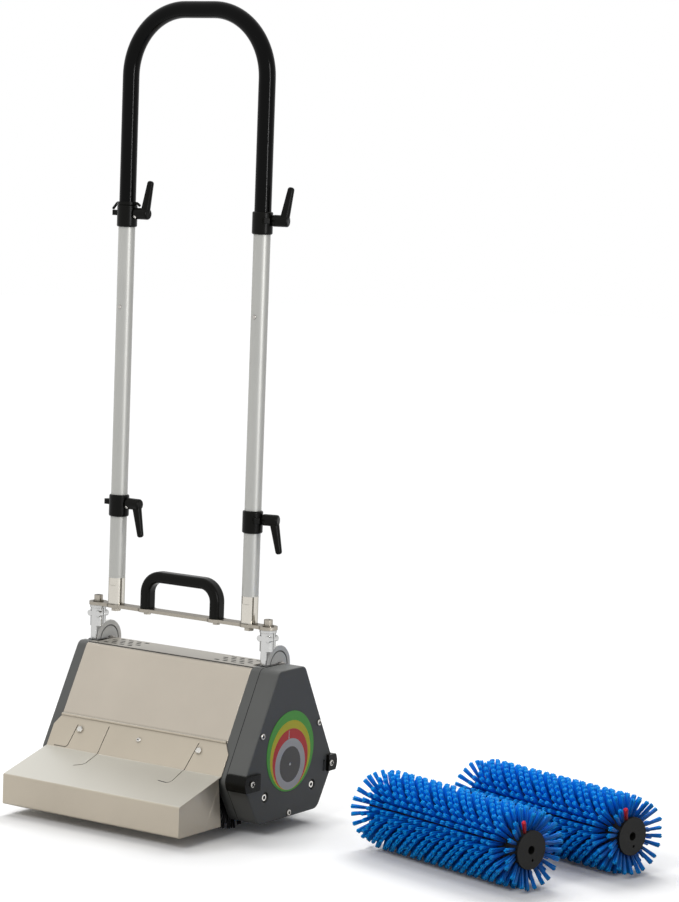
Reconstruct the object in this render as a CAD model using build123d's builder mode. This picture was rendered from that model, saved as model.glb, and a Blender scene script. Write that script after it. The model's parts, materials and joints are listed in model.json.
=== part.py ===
from build123d import *

import os
from math import acos, cos, hypot, pi, radians, sin, tan

os.makedirs("parts", exist_ok=True)

# Counter-rotating brush scrubber and its spare brushes, in millimetres.
# X runs across the body, Y to the rear, Z up; the origin is on the floor under the body's middle.

# Clearances
RUN_FIT = 0.05
SLIDE_FIT = 0.08
BODY_GAP = 0.3
BOLT_PLAY = 0.2

# Body section, a six-sided outline seen from the side
TOP_HALF = 33.0
TOP_Z = 237.7
WIDE_HALF = 115.0
WIDE_Z = 83.3
FOOT_HALF = 76.0
FOOT_Z = 18.0
TOP_CORNER = 12.0
WIDE_CORNER = 14.0
FOOT_CORNER = 18.0

# Widths across the body
PANEL_HALF = 153.0
PLATE_T = 16.5
COVER_DEPTH = 33.5
COVER_WALL = 3.0
COVER_EDGE = 2.0
SHEET = 1.5

# Brushes, their cores and shafts
BRUSH_R = 57.0
FLOOR_FLAT = 0.5
CORE_R = 27.0
CORE_GAP = 3.0
CORE_WALL = 4.0
HUB_R = 12.0
HUB_L = 22.0
END_PLATE = 6.0
SHAFT_R = 6.0
DRIVE_PIN_R = 2.0
DRIVE_PIN_OFFSET = 15.0
DRIVE_PIN_L = 8.0
FLANGE_R = 20.0
FLANGE_T = 2.0
FLANGE_GAP = 0.5
BEARING_R = 14.0
BEARING_W = 8.0
BEARING_DEPTH = 10.0

# Gear train
GEAR_MODULE = 2.0
GEAR_TEETH = 20
GEAR_WIDTH = 10.0
PRESSURE_ANGLE = 20.0
GEAR_BACKLASH = 0.4
GEAR_GAP = 2.0
PIN_END = 1.0

# Bristle tufts
TUFT_ROOT = 5.0
TUFT_TAPER = -3.0
TUFT_RING = 1.5
TUFT_MARGIN = 8.0
TUFTS_AROUND = 9
SPARE_ROWS = 13
FITTED_ROWS = 11
ROW_TWIST = 13.0
SPARE_END_LEAN = 18.0
FITTED_END_LEAN = 2.0

# Spare brushes on the floor: middle of each core, its turn about Z and where its pin hole has rolled to
SPARE_NEAR = (508.0, -32.0, -14.75)
SPARE_FAR = (574.5, 134.0, -14.75)
SPARE_PIN_TURN = 78.0

# Motor, belt and the deck that carries the motor
MOTOR_R = 47.5
MOTOR_L = 190.0
MOTOR_GAP = 2.5
MOTOR_EDGE = 6.0
MOTOR_SHAFT_R = 5.0
MOTOR_SOCKET = 40.0
SHAFT_PASSAGE = 2.0
DECK_T = 2.0
DECK_Z = 116.0
DECK_HALF = 82.0
SADDLE_X = 62.0
SADDLE_T = 12.0
SADDLE_HALF = 36.0
SADDLE_RISE = 22.0
MOTOR_PULLEY_R = 12.0
BELT_PULLEY_R = 20.0
PULLEY_W = 10.0
PULLEY_FLANGE = 2.5
PULLEY_RIM = 1.2
BELT_T = 2.0
BELT_W = 8.0
ROD_R = 5.0
ROD_LOW_Z = 99.0
ROD_SIDE_Y = 64.0
ROD_SIDE_Z = 126.0

# Fasteners, clips and gauge on the drive cover's outer face
RECESS_R = 8.0
RECESS_DEPTH = 12.0
RECESS_WALL = 3.0
RECESS_BOLT_R = 5.5
RECESS_BOLT_H = 8.0
SCREW_HEAD_R = 4.5
SCREW_HEAD_H = 2.5
UPPER_SCREW_Y = 72.0
UPPER_SCREW_Z = 148.0
LOWER_SCREW_Z = 24.5
CLIP_T = 5.0
CLIP_REACH = 30.0
CLIP_FRONT_L = 41.0
CLIP_REAR_L = 24.0
CLIP_H = 24.0
CLIP_SCREW_INSET = 14.0
KEY_SLOT_L = 17.0
KEY_SLOT_W = 6.0
KEY_SLOT_DEPTH = 2.0
KEY_SLOT_GAP = 3.5
KEY_SLOT_DROP = 2.9
GAUGE_R = 59.5
GAUGE_Z = 116.0
GAUGE_T = 0.6

# Stainless top cover and the ledge that it lies on
COVER_HEM_Z = 88.0
LEDGE_Z = 119.0
LEDGE_W = 6.0
LEDGE_T = 4.0
VENT_L = 9.0
VENT_W = 3.2
VENT_PITCH_X = 15.0
VENT_PITCH_Y = 11.0
VENT_COLUMNS = 4
VENT_ROWS = 4
VENT_X = 104.0

# Dirt tray, one folded sheet with a hollow behind its front
TRAY_HALF = 161.8
TRAY_FRONT_Y = -211.8
TRAY_FRONT_Z = 61.3
TRAY_BEND_Z = 89.0
TRAY_FLOOR_Z = 16.0
TRAY_FLOOR_REAR = -110.0
TRAY_CHEEK_REAR = -119.0
TRAY_FLANGE_Z = 134.0
TRAY_FLANGE_HALF = 152.4
TRAY_CORNER_DROP = 17.0
TRAY_BEND_R = 3.0
TRAY_BEAD_R = 2.0
TRAY_SCREW_X = 110.0
TRAY_SCREW_Z = 117.0
TRAY_SCREW_R = 2.5
TRAY_HEAD_R = 5.5
TRAY_HEAD_H = 3.0
TRAY_SCREW_L = 12.0
SLIT_W = 1.2
SLIT_BEND = 6.0
SLIT_REACH = 50.0

# Switch and cable gland on the rear slope
FITTINGS_Z = 160.0
SWITCH_X = -122.0
SWITCH_W = 24.0
SWITCH_H = 32.0
BEZEL_T = 2.5
BEZEL_RIM = 3.0
BEZEL_WALL = 2.0
ROCKER_GAP = 0.5
ROCKER_RISE = 5.0
ROCKER_PIN_R = 1.5
ROCKER_PIN_L = 1.2
GLAND_X = 122.0
GLAND_BORE_R = 4.0
GLAND_BODY_R = 8.0
GLAND_NUT_R = 12.5
GLAND_NUT_T = 6.0
GLAND_DOME_L = 14.0
GLAND_INNER_L = 16.0

# Handle pivot, transport wheels and the knuckles in front of them
AXLE_Y = 21.0
AXLE_DROP = 3.2
AXLE_R = 3.0
AXLE_HEAD_R = 5.5
AXLE_HEAD_T = 2.5
WHEEL_R = 30.5
WHEEL_W = 9.4
WHEEL_EDGE = 2.0
HUB_DISC_R = 20.5
HUB_GROOVE_W = 1.8
HUB_GROOVE_D = 1.2
EAR_T = 2.5
EAR_GAP = 0.5
EAR_R = 6.5
ARM_T = 3.2
ARM_HALF = 4.0
ARM_GAP = 0.4
ARM_BOSS_R = 5.5
BARREL_R = 11.6
BARREL_H = 32.0
BARREL_COLLAR_R = 12.6
BARREL_COLLAR_T = 4.0
BARREL_CLEARANCE = 6.0
BARREL_SLIT_W = 1.2
BARREL_SLIT_D = 2.0
BARREL_SLIT_Y = 2.0
LEG_W = 9.6
LEG_GAP = 1.5
PINCH_X = 7.5
PINCH_R = 4.5
PINCH_L = 22.0
PINCH_DROP = 13.0
POCKET_FRONT = 18.0
POCKET_REAR = 56.0
POCKET_GAP = 1.0
BRACKET_BASE_T = 3.0
BRACKET_HALF = 22.0
WHEEL_CLEARANCE = 2.5

# Yoke plate, its bolts and the lift handle
YOKE_Y = -2.5
YOKE_RISE = 61.0
YOKE_T = 5.0
YOKE_BAR_W = 20.0
YOKE_LOBE_R = 14.0
CAP_HEAD_R = 6.5
CAP_HEAD_H = 8.0
CAP_SOCKET_R = 3.2
CAP_SOCKET_H = 4.0
WASHER_R = 8.0
WASHER_T = 1.6
BOLT_R = 4.0
BOLT_GRIP = 16.0
HEX_HEAD_R = 7.5
HEX_HEAD_H = 5.5
HANDLE_BOLT_R = 3.0
HANDLE_HEX_R = 5.8
HANDLE_HEX_H = 4.0
LIFT_X = 64.4
LIFT_T = 17.0
LIFT_DEPTH = 22.0
LIFT_EDGE = 6.0
LIFT_RISE = 58.5
LIFT_BEND = 26.0

# Telescopic handle tubes
TUBE_X = 124.0
TUBE_R = 12.5
TUBE_WALL = 1.5
SLEEVE_WALL = 1.5
SOCKET_H = 40.5
SOCKET_SPIGOT = 12.0
SOCKET_FLAT = 2.0
SOCKET_FLAT_H = 30.0
SOCKET_SLOT_W = 3.0
SOCKET_SLOT_D = 3.0
LOWER_TUBE_L = 110.0
MIDDLE_TUBE_L = 326.0
UPPER_TUBE_L = 110.0
GRIP_RISE = 305.6
GRIP_BEND = 98.0
GRIP_WALL = 2.0
LOWER_SLEEVE_DOWN = 94.0
LOWER_SLEEVE_UP = 30.0
SEAM_SLEEVE_DOWN = 50.0
SEAM_SLEEVE_UP = 20.0
GRIP_SPIGOT = 86.0
GRIP_SPIGOT_UP = 20.0
BUTTON_DROP = 26.0
BUTTON_R = 3.0
BUTTON_PROUD = 1.4
BUTTON_L = 7.0

# Clamp collars, their levers and the cable hook
COLLAR_R = 15.2
COLLAR_H = 33.0
COLLAR_EDGE = 2.4
STUB_W = 8.0
STUB_L = 10.0
LEVER_RISE = 4.0
LEVER_STUD_R = 3.0
LEVER_HUB_R = 8.6
LEVER_HUB_L = 25.0
LEVER_HUB_EDGE = 3.0
LEVER_L = 50.0
LEVER_ROOT_R = 7.2
LEVER_TIP_R = 4.8
LEVER_TILT = 11.0
LEVER_ANGLES = {"left": 0.0, "right": 15.0}
STUB_ANGLES = {"left": 180.0, "right": -40.0}
HOOK_R = 2.0
HOOK_RING_T = 4.4
HOOK_TOP_SPREAD = 19.0
HOOK_BEND = 4.0
HOOK_EARS = {"left": (27.0, 7.0), "right": (23.5, 1.0)}

# Values worked out from the sizes above
SIDES = {"left": -1, "right": 1}
PLATE_OUT = PANEL_HALF + PLATE_T
COVER_OUT = PLATE_OUT + COVER_DEPTH
BRUSH_Z = BRUSH_R - FLOOR_FLAT
CORE_L = 2 * (PANEL_HALF - CORE_GAP)
MOTOR_Z = DECK_Z + DECK_T + MOTOR_GAP + MOTOR_R
PITCH_R = GEAR_MODULE * GEAR_TEETH / 2
BASE_R = PITCH_R * cos(radians(PRESSURE_ANGLE))
TIP_R = PITCH_R + GEAR_MODULE
ROOT_R = PITCH_R - 1.25 * GEAR_MODULE
BRUSH_Y = 3 * PITCH_R
IDLER_Y = PITCH_R
SLOPE_RUN = WIDE_HALF - TOP_HALF
SLOPE_RISE = TOP_Z - WIDE_Z
SLOPE_L = hypot(SLOPE_RUN, SLOPE_RISE)
SLOPE_OUT = SLOPE_RISE / SLOPE_L
SLOPE_UP = SLOPE_RUN / SLOPE_L
GEAR_X = PLATE_OUT + GEAR_GAP
PULLEY_X = GEAR_X + GEAR_WIDTH
PULLEY_OUT = PULLEY_X + PULLEY_W + 2 * PULLEY_RIM
FORK_HALF = WHEEL_W / 2 + ARM_GAP + ARM_T
EAR_OUT = FORK_HALF + EAR_GAP + EAR_T
FORK_X = PLATE_OUT - EAR_OUT
POCKET_IN = FORK_X - EAR_OUT - AXLE_HEAD_T - POCKET_GAP
AXLE_Z = TOP_Z - AXLE_DROP
POCKET_Z = AXLE_Z - WHEEL_R - WHEEL_CLEARANCE - BRACKET_BASE_T
WHEEL_FRONT = AXLE_Y - WHEEL_R
STEP_Z = AXLE_Z - ARM_HALF - BODY_GAP
YOKE_Z = AXLE_Z + YOKE_RISE
TUBE_IN = TUBE_R - TUBE_WALL
SLEEVE_R = TUBE_IN - SLIDE_FIT
SLEEVE_IN = SLEEVE_R - SLEEVE_WALL
YOKE_UNDER = YOKE_Z - YOKE_T
LIFT_TOP_Z = YOKE_Z + LIFT_RISE
SOCKET_TOP_Z = YOKE_Z + SOCKET_H
LOWER_JOINT_Z = SOCKET_TOP_Z + LOWER_TUBE_L
SEAM_Z = LOWER_JOINT_Z + MIDDLE_TUBE_L
UPPER_JOINT_Z = SEAM_Z + UPPER_TUBE_L
GRIP_TOP_Z = UPPER_JOINT_Z + GRIP_RISE
ROCKER_R = SWITCH_H / 2 - ROCKER_GAP
OUTLINE = [
    (-TOP_HALF, TOP_Z),
    (-WIDE_HALF, WIDE_Z),
    (-FOOT_HALF, FOOT_Z),
    (FOOT_HALF, FOOT_Z),
    (WIDE_HALF, WIDE_Z),
    (TOP_HALF, TOP_Z),
]
CORNERS = [TOP_CORNER, WIDE_CORNER, FOOT_CORNER, FOOT_CORNER, WIDE_CORNER, TOP_CORNER]


def save(builder, node):
    """Label one finished piece and write it under its node's name."""
    builder.part.label = node
    export_step(builder.part, f"parts/{node}.step")


def slope_half(z):
    """Half the body's depth on its upper slopes at height z."""
    return TOP_HALF + (TOP_Z - z) * SLOPE_RUN / SLOPE_RISE


def slope_plane(side, x, z):
    """Plane on the front (-1) or rear (+1) slope, facing out, with its y axis up the slope."""
    return Plane(
        origin=(x, side * slope_half(z), z),
        x_dir=(-side, 0, 0),
        z_dir=(0, side * SLOPE_OUT, SLOPE_UP),
    )


def across_plane(x, y, z):
    """Plane square to X, with its x axis pointing down and its y axis to the rear."""
    return Plane(origin=(x, y, z), x_dir=(0, 0, -1), z_dir=(1, 0, 0))


def body_section(x, inset=0.0):
    """Face of the body outline square to X, drawn in by inset, or out where inset is negative."""
    with BuildSketch(Plane.YZ.offset(x)) as section:
        with BuildLine():
            FilletPolyline(*OUTLINE, radius=CORNERS, close=True)
        make_face()
        if inset:
            offset(amount=-inset)
    return section.sketch


def block(x, y, z, mode=Mode.ADD):
    """Box between pairs of limits, in the part being built."""
    with Locations((sum(x) / 2, sum(y) / 2, sum(z) / 2)):
        Box(abs(x[1] - x[0]), abs(y[1] - y[0]), abs(z[1] - z[0]), mode=mode)


def rod(origin, direction, radius, length, mode=Mode.ADD):
    """Round bar or hole from a point along a direction, in the part being built."""
    with BuildSketch(Plane(origin=origin, z_dir=direction)) as disc:
        Circle(radius)
    extrude(disc.sketch, amount=length, mode=mode)


def hex_head(origin, direction, radius, length):
    """Hexagonal bolt head from a point along a direction, in the part being built."""
    with BuildSketch(Plane(origin=origin, z_dir=direction)) as hexagon:
        RegularPolygon(radius, 6)
    extrude(hexagon.sketch, amount=length)


def pipe(x, z_low, z_high, outer, inner):
    """Upright tube of the handle, in the part being built."""
    with BuildSketch(Plane.XY.offset(z_low)) as ring:
        with Locations((x, YOKE_Y)):
            Circle(outer)
            Circle(inner, mode=Mode.SUBTRACT)
    extrude(ring.sketch, amount=z_high - z_low)


# Side plates, notched for the transport wheels and bored for the shafts
for name, side in SIDES.items():
    with BuildPart() as side_plate:
        extrude(body_section(min(side * PANEL_HALF, side * PLATE_OUT)), amount=PLATE_T)
        ledge_x = min(side * PANEL_HALF, side * (PANEL_HALF - LEDGE_W))
        extrude(body_section(ledge_x, SHEET), amount=LEDGE_W)
        extrude(body_section(ledge_x, SHEET + LEDGE_T), amount=LEDGE_W, mode=Mode.SUBTRACT)
        ledge = (side * (PANEL_HALF - LEDGE_W), side * PANEL_HALF)
        block(ledge, (-WIDE_HALF, WIDE_HALF), (0, LEDGE_Z), Mode.SUBTRACT)
        notch = (side * (PANEL_HALF - LEDGE_W), side * PLATE_OUT)
        deep = WHEEL_FRONT - WHEEL_CLEARANCE
        block(notch, (deep, POCKET_REAR), (POCKET_Z, TOP_Z + 1), Mode.SUBTRACT)
        block(notch, (-POCKET_FRONT, deep), (STEP_Z, TOP_Z + 1), Mode.SUBTRACT)
        inward = (side, 0, 0)
        for y in (-BRUSH_Y, BRUSH_Y):
            seat = (side * PANEL_HALF, y, BRUSH_Z)
            rod(seat, inward, BEARING_R + RUN_FIT, BEARING_DEPTH, Mode.SUBTRACT)
            if side > 0:
                rod(seat, inward, SHAFT_R + SHAFT_PASSAGE, PLATE_T, Mode.SUBTRACT)
        if side > 0:
            for y in (-IDLER_Y, IDLER_Y):
                rod((PANEL_HALF, y, BRUSH_Z), inward, SHAFT_R + RUN_FIT, PLATE_T, Mode.SUBTRACT)
            passage = MOTOR_SHAFT_R + SHAFT_PASSAGE
            rod((PANEL_HALF, 0, MOTOR_Z), inward, passage, PLATE_T, Mode.SUBTRACT)
    save(side_plate, f"{name}_side_plate")

# Drive cover, a moulded shell over the gears with two deep bolt recesses
with BuildPart() as drive_cover:
    extrude(body_section(PLATE_OUT), amount=COVER_DEPTH)
    fillet(drive_cover.faces().sort_by(Axis.X)[-1].edges(), COVER_EDGE)
    extrude(body_section(PLATE_OUT, COVER_WALL), amount=COVER_DEPTH - COVER_WALL, mode=Mode.SUBTRACT)
    for y in (-BRUSH_Y, BRUSH_Y):
        boss = (COVER_OUT - COVER_WALL, y, BRUSH_Z)
        rod(boss, (-1, 0, 0), RECESS_R + RECESS_WALL, RECESS_DEPTH)
        rod((COVER_OUT, y, BRUSH_Z), (-1, 0, 0), RECESS_R, RECESS_DEPTH, Mode.SUBTRACT)
    with BuildSketch(Plane.YZ.offset(COVER_OUT)):
        key_y = WIDE_HALF + CLIP_T - CLIP_REAR_L - KEY_SLOT_GAP - KEY_SLOT_W / 2
        with Locations((key_y, WIDE_Z - KEY_SLOT_DROP)):
            SlotOverall(KEY_SLOT_L, KEY_SLOT_W, rotation=90)
    extrude(amount=-KEY_SLOT_DEPTH, mode=Mode.SUBTRACT)
save(drive_cover, "drive_cover")

# Bolts at the bottom of the two recesses
with BuildPart() as recess_bolts:
    for y in (-BRUSH_Y, BRUSH_Y):
        foot = (COVER_OUT - RECESS_DEPTH, y, BRUSH_Z)
        rod(foot, (1, 0, 0), RECESS_BOLT_R, RECESS_BOLT_H)
        with BuildSketch(Plane.YZ.offset(COVER_OUT - RECESS_DEPTH + RECESS_BOLT_H)):
            with Locations((y, BRUSH_Z)):
                RegularPolygon(RECESS_BOLT_R / 2, 6)
        extrude(amount=-RECESS_BOLT_H / 2, mode=Mode.SUBTRACT)
save(recess_bolts, "recess_bolts")

# Clips that wrap the widest corners of the drive cover
clip_x = COVER_OUT - CLIP_REACH
with BuildPart() as cover_clips:
    extrude(body_section(clip_x, -CLIP_T), amount=CLIP_REACH + CLIP_T)
    extrude(body_section(clip_x), amount=CLIP_REACH, mode=Mode.SUBTRACT)
    reach = (clip_x - 1, COVER_OUT + CLIP_T + 1)
    between = (CLIP_FRONT_L - WIDE_HALF - CLIP_T, WIDE_HALF + CLIP_T - CLIP_REAR_L)
    block(reach, between, (0, TOP_Z + 2 * CLIP_T), Mode.SUBTRACT)
    full = (-WIDE_HALF - 2 * CLIP_T, WIDE_HALF + 2 * CLIP_T)
    block(reach, full, (0, WIDE_Z - CLIP_H / 2), Mode.SUBTRACT)
    block(reach, full, (WIDE_Z + CLIP_H / 2, TOP_Z + 2 * CLIP_T), Mode.SUBTRACT)
save(cover_clips, "cover_clips")

# Round-head screws of the cover and of its clips
screw_places = [
    (COVER_OUT, -UPPER_SCREW_Y, UPPER_SCREW_Z),
    (COVER_OUT, UPPER_SCREW_Y, UPPER_SCREW_Z),
    (COVER_OUT, 0, LOWER_SCREW_Z),
    (COVER_OUT + CLIP_T, CLIP_SCREW_INSET - WIDE_HALF, WIDE_Z),
    (COVER_OUT + CLIP_T, WIDE_HALF - CLIP_SCREW_INSET, WIDE_Z),
]
with BuildPart() as cover_screws:
    for place in screw_places:
        rod(place, (1, 0, 0), SCREW_HEAD_R, SCREW_HEAD_H)
    rims = [f for f in cover_screws.faces().filter_by(Axis.X) if f.normal_at().X > 0]
    fillet([edge for f in rims for edge in f.edges()], SCREW_HEAD_H / 2)
save(cover_screws, "cover_screws")

# Round wear gauge on the cover's outer face
with BuildPart() as gauge_label:
    rod((COVER_OUT, 0, GAUGE_Z), (1, 0, 0), GAUGE_R, GAUGE_T)
save(gauge_label, "gauge_label")

# Stainless top cover, folded over the body with vents and wheel cut-outs
with BuildPart() as top_cover:
    extrude(body_section(-PANEL_HALF), amount=2 * PANEL_HALF)
    extrude(body_section(-PANEL_HALF, SHEET), amount=2 * PANEL_HALF, mode=Mode.SUBTRACT)
    wide = (-WIDE_HALF, WIDE_HALF)
    block((-PANEL_HALF, PANEL_HALF), wide, (0, COVER_HEM_Z), Mode.SUBTRACT)
    for side in SIDES.values():
        cut = (side * POCKET_IN, side * PANEL_HALF)
        block(cut, (-POCKET_FRONT, POCKET_REAR), (POCKET_Z, TOP_Z + 1), Mode.SUBTRACT)
    with BuildSketch(Plane.XY.offset(TOP_Z)):
        for side in SIDES.values():
            for row in range(VENT_ROWS):
                y = (row - (VENT_ROWS - 1) / 2) * VENT_PITCH_Y
                stagger = VENT_PITCH_X / 4 * (1 if row % 2 else -1)
                with Locations((side * VENT_X + stagger, y)):
                    with GridLocations(VENT_PITCH_X, VENT_PITCH_Y, VENT_COLUMNS, 1):
                        SlotOverall(VENT_L, VENT_W)
    extrude(amount=-2 * SHEET, mode=Mode.SUBTRACT)
    for x in (-TRAY_SCREW_X, 0, TRAY_SCREW_X):
        with BuildSketch(slope_plane(-1, x, TRAY_SCREW_Z)):
            Circle(TRAY_SCREW_R + BODY_GAP)
        extrude(amount=-2 * SHEET, mode=Mode.SUBTRACT)
    with BuildSketch(slope_plane(1, SWITCH_X, FITTINGS_Z)):
        Rectangle(SWITCH_W + 2 * BEZEL_WALL + BODY_GAP, SWITCH_H + 2 * BEZEL_WALL + BODY_GAP)
    extrude(amount=-2 * SHEET, mode=Mode.SUBTRACT)
    with BuildSketch(slope_plane(1, GLAND_X, FITTINGS_Z)):
        Circle(GLAND_BODY_R + BOLT_PLAY)
    extrude(amount=-2 * SHEET, mode=Mode.SUBTRACT)
save(top_cover, "top_cover")

# Deck with two saddles that carry the motor
with BuildPart() as motor_deck:
    block((-PANEL_HALF, PANEL_HALF), (-DECK_HALF, DECK_HALF), (DECK_Z, DECK_Z + DECK_T))
    for x in (-SADDLE_X, SADDLE_X):
        saddle = (x - SADDLE_T / 2, x + SADDLE_T / 2)
        deck_top = DECK_Z + DECK_T
        block(saddle, (-SADDLE_HALF, SADDLE_HALF), (deck_top, deck_top + SADDLE_RISE))
    rod((-MOTOR_L / 2, 0, MOTOR_Z), (1, 0, 0), MOTOR_R + RUN_FIT, MOTOR_L, Mode.SUBTRACT)
save(motor_deck, "motor_deck")

# Motor case with a socket where its shaft runs
with BuildPart() as motor_case:
    rod((-MOTOR_L / 2, 0, MOTOR_Z), (1, 0, 0), MOTOR_R, MOTOR_L)
    fillet(motor_case.edges().filter_by(GeomType.CIRCLE), MOTOR_EDGE)
    mouth = (MOTOR_L / 2, 0, MOTOR_Z)
    rod(mouth, (-1, 0, 0), MOTOR_SHAFT_R + RUN_FIT, MOTOR_SOCKET, Mode.SUBTRACT)
save(motor_case, "motor_case")


def grooved_pulley(x, y, z, radius):
    """Flanged belt pulley square to X, in the part being built."""
    rod((x, y, z), (1, 0, 0), radius + PULLEY_FLANGE, PULLEY_RIM)
    rod((x + PULLEY_RIM, y, z), (1, 0, 0), radius, PULLEY_W)
    rod((x + PULLEY_RIM + PULLEY_W, y, z), (1, 0, 0), radius + PULLEY_FLANGE, PULLEY_RIM)


# Motor shaft and its pulley
with BuildPart() as motor_shaft:
    start = MOTOR_L / 2 - MOTOR_SOCKET + PIN_END
    rod((start, 0, MOTOR_Z), (1, 0, 0), MOTOR_SHAFT_R, PULLEY_OUT + PIN_END - start)
save(motor_shaft, "motor_shaft")

with BuildPart() as motor_pulley:
    grooved_pulley(PULLEY_X, 0, MOTOR_Z, MOTOR_PULLEY_R)
    bore = PULLEY_OUT - PULLEY_X
    rod((PULLEY_X, 0, MOTOR_Z), (1, 0, 0), MOTOR_SHAFT_R + RUN_FIT, bore, Mode.SUBTRACT)
save(motor_pulley, "motor_pulley")


def belt_loop(x, grow):
    """Face inside a belt round the two pulleys, with their radii grown."""
    with BuildSketch(Plane.YZ.offset(x)) as loop:
        with Locations((0, MOTOR_Z)):
            Circle(MOTOR_PULLEY_R + grow)
        with Locations((-IDLER_Y, BRUSH_Z)):
            Circle(BELT_PULLEY_R + grow)
        make_hull()
    return loop.sketch


# Drive belt between the motor pulley and the first idler
belt_x = PULLEY_X + PULLEY_RIM + (PULLEY_W - BELT_W) / 2
with BuildPart() as drive_belt:
    extrude(belt_loop(belt_x, BODY_GAP + BELT_T), amount=BELT_W)
    extrude(belt_loop(belt_x, BODY_GAP), amount=BELT_W, mode=Mode.SUBTRACT)
save(drive_belt, "drive_belt")

# Tie rods between the side plates
with BuildPart() as tie_rods:
    for y, z in ((0, ROD_LOW_Z), (-ROD_SIDE_Y, ROD_SIDE_Z), (ROD_SIDE_Y, ROD_SIDE_Z)):
        rod((-PANEL_HALF, y, z), (1, 0, 0), ROD_R, 2 * PANEL_HALF)
save(tie_rods, "tie_rods")

# Bearings of the brush shafts, two in each side plate
with BuildPart() as brush_bearings:
    for side in SIDES.values():
        inner_face = side * (PANEL_HALF + BEARING_DEPTH - BEARING_W)
        for y in (-BRUSH_Y, BRUSH_Y):
            place = (inner_face, y, BRUSH_Z)
            rod(place, (side, 0, 0), BEARING_R, BEARING_W)
            rod(place, (side, 0, 0), SHAFT_R + RUN_FIT, BEARING_W, Mode.SUBTRACT)
save(brush_bearings, "brush_bearings")

# Fixed pins of the two idler gears
with BuildPart() as idler_pins:
    for y, end in ((-IDLER_Y, PULLEY_OUT), (IDLER_Y, GEAR_X + GEAR_WIDTH)):
        rod((PANEL_HALF, y, BRUSH_Z), (1, 0, 0), SHAFT_R, end + PIN_END - PANEL_HALF)
save(idler_pins, "idler_pins")


def involute(angle):
    """Involute function of an angle in radians."""
    return tan(angle) - angle


def tooth_half(radius):
    """Half the angle that a gear tooth fills at a radius, in radians."""
    at_pitch = pi / (2 * GEAR_TEETH) - GEAR_BACKLASH / (4 * PITCH_R)
    at_radius = acos(min(1.0, BASE_R / radius))
    return at_pitch + involute(radians(PRESSURE_ANGLE)) - involute(at_radius)


def polar(radius, angle):
    """Point at a radius and an angle in radians."""
    return (radius * cos(angle), radius * sin(angle))


# One gear tooth with involute flanks, pointing along its x axis
with BuildSketch() as tooth:
    with BuildLine():
        flanks = []
        for hand in (-1, 1):
            points = [polar(r, hand * tooth_half(r)) for r in (BASE_R, PITCH_R, TIP_R)]
            flanks.append(ThreePointArc(*points))
        Line(flanks[0] @ 1, flanks[1] @ 1)
        sunk = ROOT_R - GEAR_MODULE / 2
        roots = [polar(sunk, hand * tooth_half(BASE_R)) for hand in (-1, 1)]
        Polyline(flanks[0] @ 0, roots[0], roots[1], flanks[1] @ 0)
    make_face()


def spur_gear(y, half_pitch_turn):
    """Gear of the train at y, turned by half a tooth where its neighbour has a tooth."""
    phase = 180 / GEAR_TEETH if half_pitch_turn else 0
    with BuildSketch(across_plane(GEAR_X, y, BRUSH_Z)) as profile:
        Circle(ROOT_R)
        with PolarLocations(0, GEAR_TEETH, start_angle=phase):
            add(tooth.sketch)
        Circle(SHAFT_R + RUN_FIT, mode=Mode.SUBTRACT)
    extrude(profile.sketch, amount=GEAR_WIDTH)


# First idler gear with the belt pulley moulded on, and the second idler gear
with BuildPart() as idler_gear_a:
    spur_gear(-IDLER_Y, True)
    grooved_pulley(PULLEY_X, -IDLER_Y, BRUSH_Z, BELT_PULLEY_R)
    bore = PULLEY_OUT - PULLEY_X
    rod((PULLEY_X, -IDLER_Y, BRUSH_Z), (1, 0, 0), SHAFT_R + RUN_FIT, bore, Mode.SUBTRACT)
save(idler_gear_a, "idler_gear_a")

with BuildPart() as idler_gear_b:
    spur_gear(IDLER_Y, False)
save(idler_gear_b, "idler_gear_b")


def brush_core(plane, pin_turn=0.0):
    """Hollow brush core along the plane's normal, with a hub and a pin hole at each end."""
    pin_place = (DRIVE_PIN_OFFSET * sin(radians(pin_turn)), DRIVE_PIN_OFFSET * cos(radians(pin_turn)))
    with BuildPart() as core:
        with BuildSketch(plane):
            Circle(CORE_R)
        extrude(amount=CORE_L)
        with BuildSketch(plane.offset(END_PLATE)):
            Circle(CORE_R - CORE_WALL)
        extrude(amount=CORE_L - 2 * END_PLATE, mode=Mode.SUBTRACT)
        for start in (0, CORE_L - HUB_L):
            with BuildSketch(plane.offset(start)):
                Circle(HUB_R)
            extrude(amount=HUB_L)
        with BuildSketch(plane):
            Circle(SHAFT_R + RUN_FIT)
            with Locations(pin_place):
                Circle(DRIVE_PIN_R + RUN_FIT)
        extrude(amount=CORE_L, mode=Mode.SUBTRACT)
    return core


# One bristle tuft, four-sided and a little wider at its tip
tuft_foot = CORE_R + TUFT_RING / 2
tuft_length = BRUSH_R - tuft_foot - 0.3
with BuildPart() as tuft:
    with BuildSketch():
        Rectangle(TUFT_ROOT, TUFT_ROOT)
    extrude(amount=tuft_length, taper=TUFT_TAPER)


def tuft_planes(plane, rows, end_lean):
    """Planes at the tufts' feet on the core, with each tuft's direction as normal."""
    pitch = (CORE_L - 2 * TUFT_MARGIN) / (rows - 1)
    planes = []
    for row in range(rows):
        lean = radians(end_lean) * ((row == rows - 1) - (row == 0))
        for step in range(TUFTS_AROUND):
            turn = radians(row * ROW_TWIST + step * 360 / TUFTS_AROUND)
            out = plane.x_dir * cos(turn) + plane.y_dir * sin(turn)
            along = plane.z_dir
            grow = out * cos(lean) + along * sin(lean)
            foot_r = tuft_foot + TUFT_ROOT / 2 * abs(sin(lean))
            foot = plane.origin + along * (TUFT_MARGIN + row * pitch) + out * foot_r
            across = along * cos(lean) - out * sin(lean)
            planes.append(Plane(origin=foot, x_dir=across, z_dir=grow))
    return planes


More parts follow.
